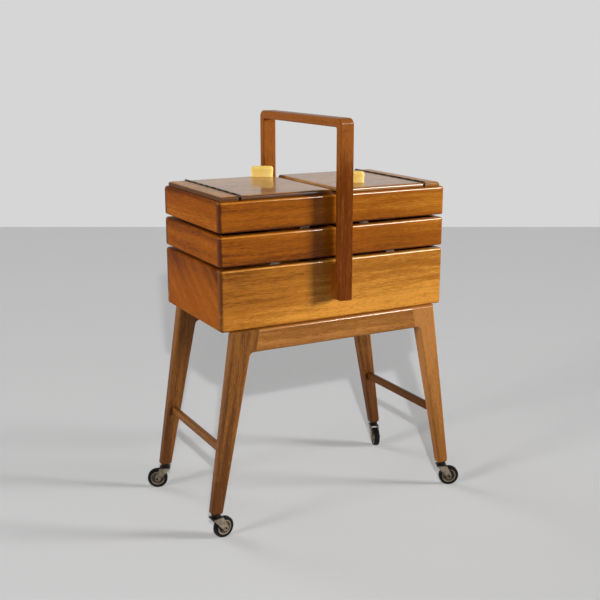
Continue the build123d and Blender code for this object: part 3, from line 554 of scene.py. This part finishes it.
def ribbed_disc(name, middle, axis, colour, soil):
    """A moulded disc, pale on its ribs and grimy between them and in a ring."""
    material, tree, shader, place = new_material(name)
    lever = vector_math(tree, "CROSS_PRODUCT", vector_math(tree, "SUBTRACT", place, middle), axis)
    radius = vector_math(tree, "LENGTH", lever, result="Value")
    turns = math_node(tree, "MULTIPLY", math_node(tree, "SUBTRACT", radius, RIB_RADIUS), tau / RIB_PITCH)
    ribs = remap(tree, math_node(tree, "COSINE", turns), low=-0.4, high=0.5)
    spots = noise(tree, place, scale=260.0, detail=3.0, roughness=0.6)
    smear = remap(tree, spots, low=0.35, high=0.75, to_low=1.0, to_high=0.45)
    inside = remap(tree, radius, *GRIME_INSIDE, to_low=1.0, to_high=0.2)
    outside = remap(tree, radius, *GRIME_OUTSIDE, to_high=0.8)
    ring = math_node(tree, "ADD", inside, outside)
    pale = math_node(tree, "MULTIPLY", math_node(tree, "MULTIPLY", ribs, smear), ring)
    rough = remap(tree, pale, low=0.0, high=1.0, to_low=0.7, to_high=0.4)
    feed(tree, shader, Base_Color=mix_colours(tree, pale, soil, colour), Roughness=rough, Specular_IOR_Level=0.3)
    return material


def darken(material, start, stop, colour):
    """Turn a finish to a dark colour between two heights."""
    tree = material.node_tree
    shader = tree.nodes["Principled BSDF"]
    finish = shader.inputs["Base Color"].links[0].from_socket
    place = next(node for node in tree.nodes if node.type == "TEX_COORD").outputs["Object"]
    share = tone_change(tree, place, [("Z", start, stop, 1.0)])
    feed(tree, shader, Base_Color=mix_colours(tree, share, finish, colour))


def dress(node, material):
    """Give a modelled part its finish."""
    part = NODES[node]
    if not part.material_slots:
        part.data.materials.append(material)
    for slot in part.material_slots:
        slot.material = material


def mesh_piece(mesh, material, body, slot, *replaced):
    """Put a finished mesh in the scene as a piece of its name that moves with a body."""
    piece = bpy.data.objects.new(mesh.name, mesh)
    bpy.context.scene.collection.objects.link(piece)
    mesh.materials.clear()
    mesh.materials.append(material)
    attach(piece, body)
    if replaced:
        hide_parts(*replaced)


def skin(shape, rows):
    """Faces from each row of points to the next, where a row is a closed ring."""
    for row, following in zip(rows, rows[1:]):
        for first in range(len(row)):
            second = (first + 1) % len(row)
            shape.faces.new((row[first], row[second], following[second], following[first]))


def finished_mesh(name, shape):
    """A smooth mesh, with its sharp edges kept, from an edited shape whose faces are turned outwards."""
    bmesh.ops.recalc_face_normals(shape, faces=shape.faces)
    mesh = bpy.data.meshes.new(name)
    shape.to_mesh(mesh)
    shape.free()
    mesh.shade_smooth()
    mesh.set_sharp_from_angle(angle=SHARP_ANGLE)
    return mesh


def turned(name, face, centre, axis):
    """A ring turned round an axis, from one face's points of (radius, place along the axis) in mm and their mirror."""
    profile = face + [(radius, -along) for radius, along in reversed(face)]
    lathe = axis.to_track_quat("Z", "X").to_matrix()
    shape = bmesh.new()
    rows = []
    for step in range(LATHE_STEPS):
        angle = tau * step / LATHE_STEPS
        points = (Vector((radius * cos(angle), radius * sin(angle), along)) * MM for radius, along in profile)
        rows.append([shape.verts.new(centre + lathe @ point) for point in points])
    skin(shape, [*rows, rows[0]])
    return finished_mesh(name, shape)


def knob_mesh(name, foot, height, sizes):
    """A resin pull: a rounded block, longer at its top, with a shallow finger hollow round its sides."""
    rim = sizes.knob_round
    straight = height - rim
    shares = [step / KNOB_LAYERS for step in range(1, KNOB_LAYERS + 1)]
    layers = [(0.0, KNOB_FOOT_INSET, 0.0), (KNOB_FOOT_RISE, 0.0, 0.0)]
    for share in shares:
        level = KNOB_FOOT_RISE + (straight - KNOB_FOOT_RISE) * share
        layers.append((level, 0.0, sizes.knob_waist * sin(pi * share)))
    for share in shares:
        angle = pi / 2 * share
        layers.append((straight + rim * sin(angle), rim * (1 - cos(angle)), 0.0))
    shoulder = sizes.knob_shoulder / rim
    turn = Matrix.Rotation(sizes.knob_turn, 3, "Z")
    shape = bmesh.new()
    rows = []
    for level, inset, waist in layers:
        length = sizes.knob_base + (sizes.knob_length - sizes.knob_base) * min(level / straight, 1.0)
        end_inset = inset * shoulder if level > straight else inset
        reach_x = length / 2 - end_inset - waist / 2
        reach_y = sizes.knob_depth / 2 - inset - waist
        row = []
        for step in range(KNOB_AROUND):
            angle = tau * step / KNOB_AROUND
            along, across = (
                abs(share) ** KNOB_SQUARENESS * (1 if share > 0 else -1) for share in (cos(angle), sin(angle))
            )
            row.append(shape.verts.new(foot + turn @ Vector((reach_x * along, reach_y * across, level))))
        rows.append(row)
    skin(shape, rows)
    shape.faces.new(rows[-1])
    shape.faces.new(reversed(rows[0]))
    return finished_mesh(name, shape)


def new_geometry_tree(name, sizes):
    """An empty geometry tree with named sizes and a finish, with its inputs and its output node."""
    tree = bpy.data.node_groups.new(name, "GeometryNodeTree")
    tree.interface.new_socket("Geometry", in_out="INPUT", socket_type="NodeSocketGeometry")
    for size in sizes:
        tree.interface.new_socket(size, in_out="INPUT", socket_type="NodeSocketFloat")
    tree.interface.new_socket("Finish", in_out="INPUT", socket_type="NodeSocketMaterial")
    tree.interface.new_socket("Geometry", in_out="OUTPUT", socket_type="NodeSocketGeometry")
    return tree, tree.nodes.new("NodeGroupInput").outputs, tree.nodes.new("NodeGroupOutput")


def set_copies(tree, given, result, fitting):
    """Set a fitting on every point, facing the way that the point says, turned by a fixed random angle."""
    facing = feed(tree, new_node(tree, "GeometryNodeInputNamedAttribute", data_type="FLOAT_VECTOR"), Name=FACING)
    spin = feed(tree, new_node(tree, "FunctionNodeRandomValue", data_type="FLOAT"), Seed=SLOT_SEED)
    plug(tree, spin.inputs[RANDOM_LOW], 0.0)
    plug(tree, spin.inputs[RANDOM_HIGH], pi)
    angles = fed_node(tree, "ShaderNodeCombineXYZ", Z=spin.outputs[RANDOM_FLOAT])
    turn = fed_node(tree, "FunctionNodeEulerToRotation", Euler=angles.outputs[0])
    aligned = new_node(tree, "FunctionNodeAlignRotationToVector", axis="Z")
    feed(tree, aligned, Rotation=turn.outputs[0], Vector=facing.outputs["Attribute"])
    copies = fed_node(tree, "GeometryNodeInstanceOnPoints", Points=given["Geometry"], Instance=fitting)
    feed(tree, copies, Rotation=aligned.outputs[0])
    real = fed_node(tree, "GeometryNodeRealizeInstances", Geometry=copies.outputs[0])
    finish = fed_node(tree, "GeometryNodeSetMaterial", Geometry=real.outputs[0], Material=given["Finish"])
    feed(tree, result, Geometry=finish.outputs[0])


def raised(tree, geometry, height):
    """The geometry, raised by a height."""
    rise = fed_node(tree, "ShaderNodeCombineXYZ", Z=height)
    return fed_node(tree, "GeometryNodeTransform", Geometry=geometry, Translation=rise.outputs[0]).outputs[0]


@made_once
def slotted_screws(name):
    """Screws with a shoulder, a bevelled head and a slot."""
    tree, given, result = new_geometry_tree(name, SCREW_SIZES)
    radius, height, shoulder, length = (given[size] for size in SCREW_SIZES)
    head = fed_node(tree, "GeometryNodeMeshCone", Vertices=HEAD_FACETS, Radius_Bottom=radius, Depth=height)
    feed(tree, head, Radius_Top=math_node(tree, "MULTIPLY", radius, HEAD_TAPER))
    sunk = math_node(tree, "MULTIPLY_ADD", height, HEAD_OVERLAP, length)
    stem = fed_node(tree, "GeometryNodeMeshCylinder", Vertices=STEM_FACETS, Radius=shoulder, Depth=sunk)
    whole = new_node(tree, "GeometryNodeMeshBoolean", operation="UNION")
    feed(tree, whole, Mesh_2=raised(tree, head.outputs["Mesh"], length))
    feed(tree, whole, Mesh_2=raised(tree, stem.outputs["Mesh"], math_node(tree, "MULTIPLY", sunk, 0.5)))
    run, width = (math_node(tree, "MULTIPLY", radius, share) for share in (SLOT_LENGTH, SLOT_WIDTH))
    extent = fed_node(tree, "ShaderNodeCombineXYZ", X=run, Y=width, Z=height)
    slot = fed_node(tree, "GeometryNodeMeshCube", Size=extent.outputs[0])
    cut = new_node(tree, "GeometryNodeMeshBoolean", operation="DIFFERENCE")
    top = math_node(tree, "ADD", length, height)
    feed(tree, cut, Mesh_1=whole.outputs["Mesh"], Mesh_2=raised(tree, slot.outputs["Mesh"], top))
    set_copies(tree, given, result, cut.outputs["Mesh"])
    return tree


@made_once
def rolled_rims(name):
    """Rolled rims of hollow rivets."""
    tree, given, result = new_geometry_tree(name, RIM_FACETS)
    ring, wire = (
        fed_node(tree, "GeometryNodeCurvePrimitiveCircle", Resolution=facets, Radius=given[size]).outputs["Curve"]
        for size, facets in RIM_FACETS.items()
    )
    rim = fed_node(tree, "GeometryNodeCurveToMesh", Curve=ring, Profile_Curve=wire)
    set_copies(tree, given, result, rim.outputs["Mesh"])
    return tree


def scattered(name, places, tree, sizes, finish):
    """A plain mesh of the fittings that a tree sets at places, each a point and the way it faces."""
    points = bpy.data.meshes.new(f"{name}_points")
    points.from_pydata([point for point, way in places], [], [])
    facing = points.attributes.new(FACING, "FLOAT_VECTOR", "POINT")
    for entry, (point, way) in zip(facing.data, places):
        entry.vector = way
    holder = bpy.data.objects.new(f"{name}_points", points)
    bpy.context.scene.collection.objects.link(holder)
    modifier = holder.modifiers.new("fittings", "NODES")
    modifier.node_group = tree
    values = {**sizes, "Finish": finish}
    for item in tree.interface.items_tree:
        if item.in_out == "INPUT" and item.name in values:
            modifier[item.identifier] = values[item.name]
    mesh = bpy.data.meshes.new_from_object(holder.evaluated_get(bpy.context.evaluated_depsgraph_get()))
    mesh.name = name
    holder.modifiers.remove(modifier)
    bpy.data.objects.remove(holder)
    return mesh


def screws(name, places, lengths, finish):
    """A mesh of screws, from the head's radius and height and the shoulder's radius and length."""
    return scattered(name, places, slotted_screws(), dict(zip(SCREW_SIZES, lengths)), finish)


def pivot_places(side):
    """Where the arms turn on the box and trays of a side, by the body that holds the screws."""
    arm, lower_link, upper_link, lower_tray, upper_tray = (
        Vector(JOINTS[f"{side}_{name}"]["pos_m"])
        for name in ("arm_swing", "lower_link_swing", "upper_link_swing", "lower_tray_level", "upper_tray_level")
    )
    return {
        "base": [arm, lower_link],
        f"{side}_lower_tray": [lower_tray, lower_link + lower_tray - arm, upper_link],
        f"{side}_upper_tray": [upper_tray, upper_link + upper_tray - lower_tray],
    }


def front_and_back(points, reach):
    """Each point brought to the front and the back board, facing the middle of the box."""
    return [(Vector((point.x, end * reach, point.z)), Vector((0.0, -end, 0.0))) for point in points for end in (-1, 1)]


class SEWINGBOX_OT_box_and_trays(bpy.types.Operator):
    """Finish the boards and floors of the box and trays"""

    bl_idname = "sewing_box.box_and_trays"
    bl_label = "Box and Trays"

    def execute(self, context):
        boards, ends = "box_long_boards", "box_end_boards"
        low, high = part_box(boards)
        tints = [*board_tints(boards), ("Z", high.z, low.z, BOX_PALE_FOOT), BOX_SHADE]
        dress(boards, walnut("walnut_box_front", tints=tints, edge=upper_edge(boards), **WALNUT["box_front"]))
        dress(ends, walnut("walnut_box_ends", tints=end_tints(ends), **WALNUT["box_ends"]))
        panel = walnut("plain_panel", **WALNUT["panel"])
        dress("box_floor", panel)
        for row, tier in enumerate(TIERS):
            for side, sign in SIDES.items():
                self.finish_tray(f"{side}_{tier}_tray", row, sign, panel)
        return {"FINISHED"}

    def finish_tray(self, tray, row, sign, panel):
        """Boards of one tray, each tray from its own stretch of grain, and its floor."""
        boards, ends = f"{tray}_long_boards", f"{tray}_end_boards"
        shift = TRAY_GRAIN + ROW_GRAIN * row + SIDE_GRAIN * sign
        tints = [*board_tints(boards), ("X", 0.0, sign * TRAY_SHADE_REACH, sign * TRAY_SHADE)]
        look = dict(shift=shift, tints=tints, edge=upper_edge(boards))
        dress(boards, walnut(f"walnut_{tray}_front", **look, **WALNUT["tray_front"]))
        look = dict(shift=shift, tints=end_tints(ends))
        dress(ends, walnut(f"walnut_{tray}_ends", **look, **WALNUT["tray_ends"]))
        dress(f"{tray}_floor", panel)


class SEWINGBOX_OT_lids(bpy.types.Operator):
    """Finish the lids, hinge strips and piano hinges, and screw the hinges on"""

    bl_idname = "sewing_box.lids"
    bl_label = "Lids and Hinges"

    def execute(self, context):
        metal = context.scene.sewing_box_metal
        # Painted light and shade: one brass, pale on the strip's leaf and dark on the lid's
        lit_leaf_brass = worn("rubbed_brass", metal.hinge_strip, metal.hinge, amount=0.55, roughness=0.38, metallic=0.85)
        dark = worn("darkened_brass", metal.hinge, BRASS_DIRT, amount=0.6, roughness=0.42, metallic=0.85)
        for side, sign in SIDES.items():
            shift = LID_GRAIN + LID_SIDE_GRAIN * sign
            low, top = (corner.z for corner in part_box(f"{side}_lid"))
            rim = (*(low + rise for rise in LID_RIM_START), *(top - depth for depth in LID_RIM_STOP))
            # The rims darken as painted shade
            tone = LID_RIM_SHADE[side]
            look = dict(shift=shift, edge=(*rim, tone), polish=LID_POLISH[side], coat_roughness=LID_BLUR[side])
            dress(f"{side}_lid", walnut(f"walnut_{side}_lid", **look, **WALNUT["lid"]))
            look = dict(shift=shift, edge=(*rim, tone + STRIP_RIM_SHADE))
            dress(f"{side}_hinge_strip", walnut(f"walnut_{side}_strip", **look, **WALNUT["strip"]))
            self.finish_leaf(context, side, "strip", lit_leaf_brass, sign, f"{side}_upper_tray")
            self.finish_leaf(context, side, "lid", dark, -sign, f"{side}_lid")
        return {"FINISHED"}

    def finish_leaf(self, context, side, leaf, finish, outward, body):
        """A hinge leaf, with a row of screws along its plate, which lies on the side that outward gives."""
        sizes = context.scene.sewing_box_fittings
        node = f"{side}_hinge_{leaf}_leaf"
        dress(node, finish)
        low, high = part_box(node)
        back = high.x if outward > 0 else low.x
        let_in = back - outward * (sizes.leaf_thickness - sizes.screw_seat)
        level = low.z + sizes.leaf_height / 2
        pitch = (high.y - low.y) / sizes.hinge_screws
        rows = (low.y + pitch * (index + 0.5) for index in range(sizes.hinge_screws))
        places = [(Vector((let_in, row, level)), Vector((-outward, 0.0, 0.0))) for row in rows]
        lengths = (sizes.hinge_head, sizes.hinge_head_height, sizes.hinge_head / 2, sizes.screw_seat)
        mesh_piece(screws(f"{side}_{leaf}_leaf_screws", places, lengths, finish), finish, body, "hinge_brass")


class SEWINGBOX_OT_handle(bpy.types.Operator):
    """Finish the carrying handle and put in its screws"""

    bl_idname = "sewing_box.handle"
    bl_label = "Handle"

    def execute(self, context):
        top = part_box("handle_posts")[1].z
        tints = [POST_SHADE, ("Z", top - POST_TOP, top, POST_TOP_TONE)]
        dress("handle_posts", walnut("walnut_posts", tints=tints, **WALNUT["posts"]))
        dress("handle_grip", walnut("walnut_grip", **WALNUT["grip"]))
        sizes = context.scene.sewing_box_fittings
        metal = context.scene.sewing_box_metal
        steel = worn("handle_screw_steel", metal.screw, SCREW_DIRT, amount=0.4, roughness=0.3, metallic=1.0)
        low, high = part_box("handle_screws")
        levels = (low.z + sizes.handle_head, high.z - sizes.handle_head)
        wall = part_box("box_end_boards")[1].y
        places = front_and_back([Vector((0.0, 0.0, level)) for level in levels], wall + sizes.screw_seat)
        lengths = (sizes.handle_head, sizes.handle_head_height, sizes.handle_head / 2, sizes.screw_seat)
        heads = screws("handle_screw_heads", places, lengths, steel)
        mesh_piece(heads, steel, "base", "screw_steel", "handle_screws")
        return {"FINISHED"}


class SEWINGBOX_OT_leg_frame(bpy.types.Operator):
    """Finish the legs, rails and stretchers"""

    bl_idname = "sewing_box.leg_frame"
    bl_label = "Leg Frame"

    def execute(self, context):
        for rail in ("front_rail", "back_rail"):
            dress(rail, walnut(f"walnut_{rail}", edge=upper_edge(rail), **WALNUT["rail"]))
        for corner in CORNERS:
            leg = f"{corner}_leg"
            low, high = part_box(leg)
            inward = -1 if low.x > 0 else 1
            lean = inward * (high.x - low.x) / 2
            turn = (0.0, atan2(high.z - low.z, lean), 0.0)
            tints = [("Z", low.z, high.z, LEG_RISE_TONE), ("Z", low.z + LEG_FOOT, low.z, LEG_FOOT_TONE)]
            shift = LEG_GRAIN + LEG_LEAN_GRAIN * lean
            look = dict(turn=turn, shift=shift, tint=LEG_LIGHT_AND_SHADE[corner], tints=tints)
            dress(leg, walnut(f"walnut_{leg}", **look, **WALNUT["leg"]))
        stretchers = walnut("walnut_stretchers", tints=[STRETCHER_SHADE], **WALNUT["stretchers"])
        dress("side_stretchers", stretchers)
        return {"FINISHED"}


class SEWINGBOX_OT_arms(bpy.types.Operator):
    """Finish the swing arms and put in the screws they turn on"""

    bl_idname = "sewing_box.arms"
    bl_label = "Swing Arms"

    def execute(self, context):
        metal = context.scene.sewing_box_metal
        sizes = context.scene.sewing_box_fittings
        # Painted shade: the links' near-black steel
        steel = worn("darkened_steel", metal.arm, LINK_DIRT, amount=0.5, roughness=0.6, metallic=0.8)
        bright = worn("rolled_steel", metal.long_arm, ARM_DIRT, amount=0.6, roughness=0.55, metallic=0.8)
        screw = worn("turned_steel", metal.screw, SCREW_DIRT, amount=0.4, roughness=0.3, metallic=1.0)
        held = {}
        for side in SIDES:
            for arms, finish in (("long_arms", bright), ("lower_links", steel), ("upper_links", steel)):
                dress(f"{side}_{arms}", finish)
            for body, points in pivot_places(side).items():
                held.setdefault(body, []).extend(points)
        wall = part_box("box_end_boards")[1].y
        lengths = (sizes.pivot_head, sizes.pivot_head_height, sizes.pivot_shoulder, sizes.pivot_shoulder_length)
        for body, points in held.items():
            holder = "box" if body == "base" else body
            heads = screws(f"{holder}_pivot_screw_heads", front_and_back(points, wall), lengths, screw)
            mesh_piece(heads, screw, body, "screw_steel", f"{holder}_pivot_screws")
        return {"FINISHED"}


class SEWINGBOX_OT_knobs(bpy.types.Operator):
    """Make the resin knobs on the lids"""

    bl_idname = "sewing_box.knobs"
    bl_label = "Lid Knobs"

    def execute(self, context):
        metal = context.scene.sewing_box_metal
        look = dict(amount=0.8, roughness=0.22, relief=0.00002, clear=0.3)
        resin = worn("butterscotch_resin", metal.knob, metal.knob_pale, **look)
        for side in SIDES:
            node = f"{side}_lid_knob"
            low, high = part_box(node)
            foot = Vector(((low.x + high.x) / 2, (low.y + high.y) / 2, low.z))
            mesh = knob_mesh(f"{side}_resin_knob", foot, high.z - low.z, context.scene.sewing_box_fittings)
            mesh_piece(mesh, resin, f"{side}_lid", "knob", node)
        return {"FINISHED"}


class SEWINGBOX_OT_casters(bpy.types.Operator):
    """Finish the casters, turn their wheels and rivet their axles"""

    bl_idname = "sewing_box.casters"
    bl_label = "Casters"

    def execute(self, context):
        metal = context.scene.sewing_box_metal
        sizes = context.scene.sewing_box_fittings
        fork = worn("dulled_plating", metal.fork, metal.fork_soil, amount=0.75, roughness=0.40, metallic=0.6)
        legs_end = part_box("caster_sockets")[0].z
        darken(fork, *(legs_end - depth for depth in FORK_DARK), metal.socket)
        socket = worn("blackened_steel", metal.socket, SOCKET_DIRT, amount=0.4, roughness=0.5, metallic=0.6)
        # Painted shade in the rivets' holes, with their grime
        hollow = worn("rivet_grime", metal.hollow, HOLLOW_DIRT, amount=0.4, roughness=0.7)
        rubber = worn("black_rubber", metal.tyre, TYRE_DIRT, amount=0.35, roughness=0.5, gloss=0.15)
        dress("caster_sockets", socket)
        rim_sizes = {"Ring Radius": sizes.rivet_ring, "Wire Radius": sizes.rivet_wire}
        hollow_sizes = (sizes.rivet_ring, HOLLOW_HEIGHT, sizes.rivet_wire, HOLLOW_SEAT)
        for corner in CORNERS:
            wheel, caster = f"{corner}_wheel", f"{corner}_caster"
            spin = JOINTS[f"{wheel}_spin"]
            middle, axis = Vector(spin["pos_m"]), Vector(spin["axis"]).normalized()
            dress(f"{caster}_fork", fork)
            grime = ribbed_disc(f"{corner}_disc", middle, axis, metal.disc, metal.disc_soil)
            disc = turned(f"{corner}_ringed_disc", DISC_FACE, middle, axis)
            mesh_piece(disc, grime, wheel, "hub_grey", f"{caster}_hub")
            tyre = turned(f"{corner}_rubber_tyre", TYRE_FACE, middle, axis)
            mesh_piece(tyre, rubber, wheel, "tyre", f"{caster}_tyre")
            places = [(middle + end * axis * sizes.rivet_reach, end * axis) for end in (-1, 1)]
            rims = scattered(f"{corner}_rivet_rims", places, rolled_rims(), rim_sizes, fork)
            mesh_piece(rims, fork, caster, "fork_steel")
            hollows = screws(f"{corner}_rivet_hollows", places, hollow_sizes, hollow)
            mesh_piece(hollows, hollow, caster, "fork_steel")
        return {"FINISHED"}


def way_to(turn, rise):
    """The way to a camera or lamp, from its angles right of the front and above level."""
    return Vector((sin(turn) * cos(rise), -cos(turn) * cos(rise), sin(rise)))


def stand(name, data, place, way):
    """Stand a camera or lamp at a place, looking back along the way to it."""
    item = bpy.data.objects.new(name, data)
    item.location = place
    item.rotation_euler = (-way).to_track_quat("-Z", "Y").to_euler()
    bpy.context.scene.collection.objects.link(item)
    return item


def seen_rays(tree):
    """One where the camera, a reflection or a clear part sees the surface, and nought for other light."""
    path = new_node(tree, "ShaderNodeLightPath")
    seen = math_node(tree, "MAXIMUM", path.outputs["Is Camera Ray"], path.outputs["Is Glossy Ray"])
    return math_node(tree, "MAXIMUM", seen, path.outputs["Is Transmission Ray"])


class SEWINGBOX_OT_stage(bpy.types.Operator):
    """Make the floor, lights, world and camera"""

    bl_idname = "sewing_box.stage"
    bl_label = "Studio"

    def execute(self, context):
        stage = context.scene.sewing_box_stage
        ahead = -way_to(stage.camera_turn, 0.0)
        camera = self.make_camera(context, stage)
        floor = self.make_floor(context, stage, camera.location, ahead)
        self.make_lights(stage)
        self.make_floor_light(stage, floor)
        self.make_world(context, stage, ahead)
        context.scene.view_settings.view_transform = "Standard"
        return {"FINISHED"}

    def make_camera(self, context, stage):
        """A camera at the photograph's angle."""
        data = bpy.data.cameras.new("camera")
        data.sensor_width = SENSOR_WIDTH
        data.lens = SENSOR_WIDTH * stage.focal_pixels / IMAGE_PIXELS
        aim = Vector((stage.aim_x, 0.0, stage.aim_height))
        back = way_to(stage.camera_turn, stage.camera_rise)
        context.scene.camera = stand("camera", data, aim + back * stage.camera_distance, back)
        return context.scene.camera

    def make_floor(self, context, stage, camera_place, ahead):
        """A pale floor that keeps the shadow and ends in a straight line where the wall begins."""
        side = Vector((ahead.y, -ahead.x, 0.0)) * FLOOR_HALF_WIDTH
        ground = Vector((camera_place.x, camera_place.y, 0.0))
        far = ground + ahead * stage.floor_end
        near = ground - ahead * stage.floor_end
        mesh = bpy.data.meshes.new("studio_floor")
        mesh.from_pydata([near - side, near + side, far + side, far - side], [], [(0, 1, 2, 3)])
        floor = bpy.data.objects.new("studio_floor", mesh)
        context.scene.collection.objects.link(floor)
        material, tree, shader, place = new_material("studio_floor")
        pale = stage.floor_colour
        shade = [FLOOR_CLOUD * value for value in pale]
        shown = mix_colours(tree, noise(tree, place, scale=3.0, detail=3.0), shade, pale)
        colour = mix_colours(tree, seen_rays(tree), stage.floor_bounce, shown)
        feed(tree, shader, Base_Color=colour, Roughness=1.0, Specular_IOR_Level=0.0)
        mesh.materials.append(material)
        return floor

    def make_lights(self, stage):
        """Low soft lights at the right, left and back, a small one in front, and one seen only as a gleam."""
        for name, (azimuth, rise, width) in SUN_LAMPS.items():
            data = bpy.data.lights.new(name, "SUN")
            data.energy = getattr(stage, name)
            data.angle = radians(width)
            way = way_to(radians(azimuth), radians(rise))
            lamp = stand(name, data, way * LAMP_DISTANCE, way)
            lamp.visible_diffuse = name != GLEAM_LAMP
            lamp.visible_glossy = name == GLEAM_LAMP

    def make_floor_light(self, stage, floor):
        """A small lamp by the camera that lights the floor evenly, for the shadow that the box throws behind it."""
        data = bpy.data.lights.new("floor_light", "POINT")
        data.energy = stage.floor_light
        data.shadow_soft_size = FLOOR_LAMP_RADIUS
        data.use_nodes = True
        tree = data.node_tree
        falloff = fed_node(tree, "ShaderNodeLightFalloff", Strength=1.0)
        feed(tree, tree.nodes["Emission"], Strength=falloff.outputs["Constant"])
        azimuth, rise = SUN_LAMPS["front_light"][:2]
        way = way_to(radians(azimuth), radians(rise))
        lamp = stand("floor_light", data, FLOOR_LAMP_AIM + FLOOR_LAMP_DISTANCE * way, way)
        lit = bpy.data.collections.new("lit_by_floor_light")
        lit.objects.link(floor)
        lamp.light_linking.receiver_collection = lit

    def make_world(self, context, stage, ahead):
        """Even room light, with the pale wall where the camera or a reflection sees it."""
        world = bpy.data.worlds.new("studio")
        world.use_nodes = True
        context.scene.world = world
        tree = world.node_tree
        tree.nodes.clear()
        room = new_node(tree, "ShaderNodeBackground", "room light")
        feed(tree, room, Color=(1.0, 1.0, 1.0), Strength=stage.room_level)
        way = new_node(tree, "ShaderNodeTexCoord").outputs["Object"]
        wall_side = remap(tree, vector_math(tree, "DOT_PRODUCT", way, ahead, result="Value"), *WALL_EDGES)
        path = new_node(tree, "ShaderNodeLightPath")
        direct = math_node(tree, "SUBTRACT", 1.0, path.outputs["Is Glossy Ray"])
        share = math_node(tree, "MAXIMUM", wall_side, direct)
        wall = new_node(tree, "ShaderNodeBackground", "pale wall")
        feed(tree, wall, Color=mix_colours(tree, share, stage.room_colour, stage.wall_colour), Strength=1.0)
        mix = new_node(tree, "ShaderNodeMixShader")
        for socket, value in zip(mix.inputs, (seen_rays(tree), room.outputs[0], wall.outputs[0])):
            plug(tree, socket, value)
        fed_node(tree, "ShaderNodeOutputWorld", Surface=mix.outputs[0])


OPERATORS = (
    SEWINGBOX_OT_box_and_trays,
    SEWINGBOX_OT_lids,
    SEWINGBOX_OT_handle,
    SEWINGBOX_OT_leg_frame,
    SEWINGBOX_OT_arms,
    SEWINGBOX_OT_knobs,
    SEWINGBOX_OT_casters,
    SEWINGBOX_OT_stage,
)


class SEWINGBOX_PT_pieces(bpy.types.Panel):
    """Buttons for the pieces and the studio"""

    bl_label = "Sewing Box"
    bl_idname = "SEWINGBOX_PT_pieces"
    bl_space_type = "VIEW_3D"
    bl_region_type = "UI"
    bl_category = "Sewing Box"

    def draw(self, context):
        column = self.layout.column()
        for operator in OPERATORS:
            column.operator(operator.bl_idname)


SETTINGS = {
    "sewing_box_wood": WalnutFinish,
    "sewing_box_metal": MetalFinish,
    "sewing_box_fittings": FittingSizes,
    "sewing_box_stage": StageSettings,
}
CLASSES = (*SETTINGS.values(), *OPERATORS, SEWINGBOX_PT_pieces)


def register():
    """Register the settings, operators and panel."""
    for item in CLASSES:
        bpy.utils.register_class(item)
    for name, item in SETTINGS.items():
        setattr(bpy.types.Scene, name, PointerProperty(type=item))


def unregister():
    """Remove the settings, operators and panel."""
    for name in SETTINGS:
        delattr(bpy.types.Scene, name)
    for item in reversed(CLASSES):
        bpy.utils.unregister_class(item)


def main():
    """Make every piece and the studio."""
    register()
    for operator in OPERATORS:
        group, action = operator.bl_idname.split(".")
        getattr(getattr(bpy.ops, group), action)()


if __name__ == "__main__":
    main()
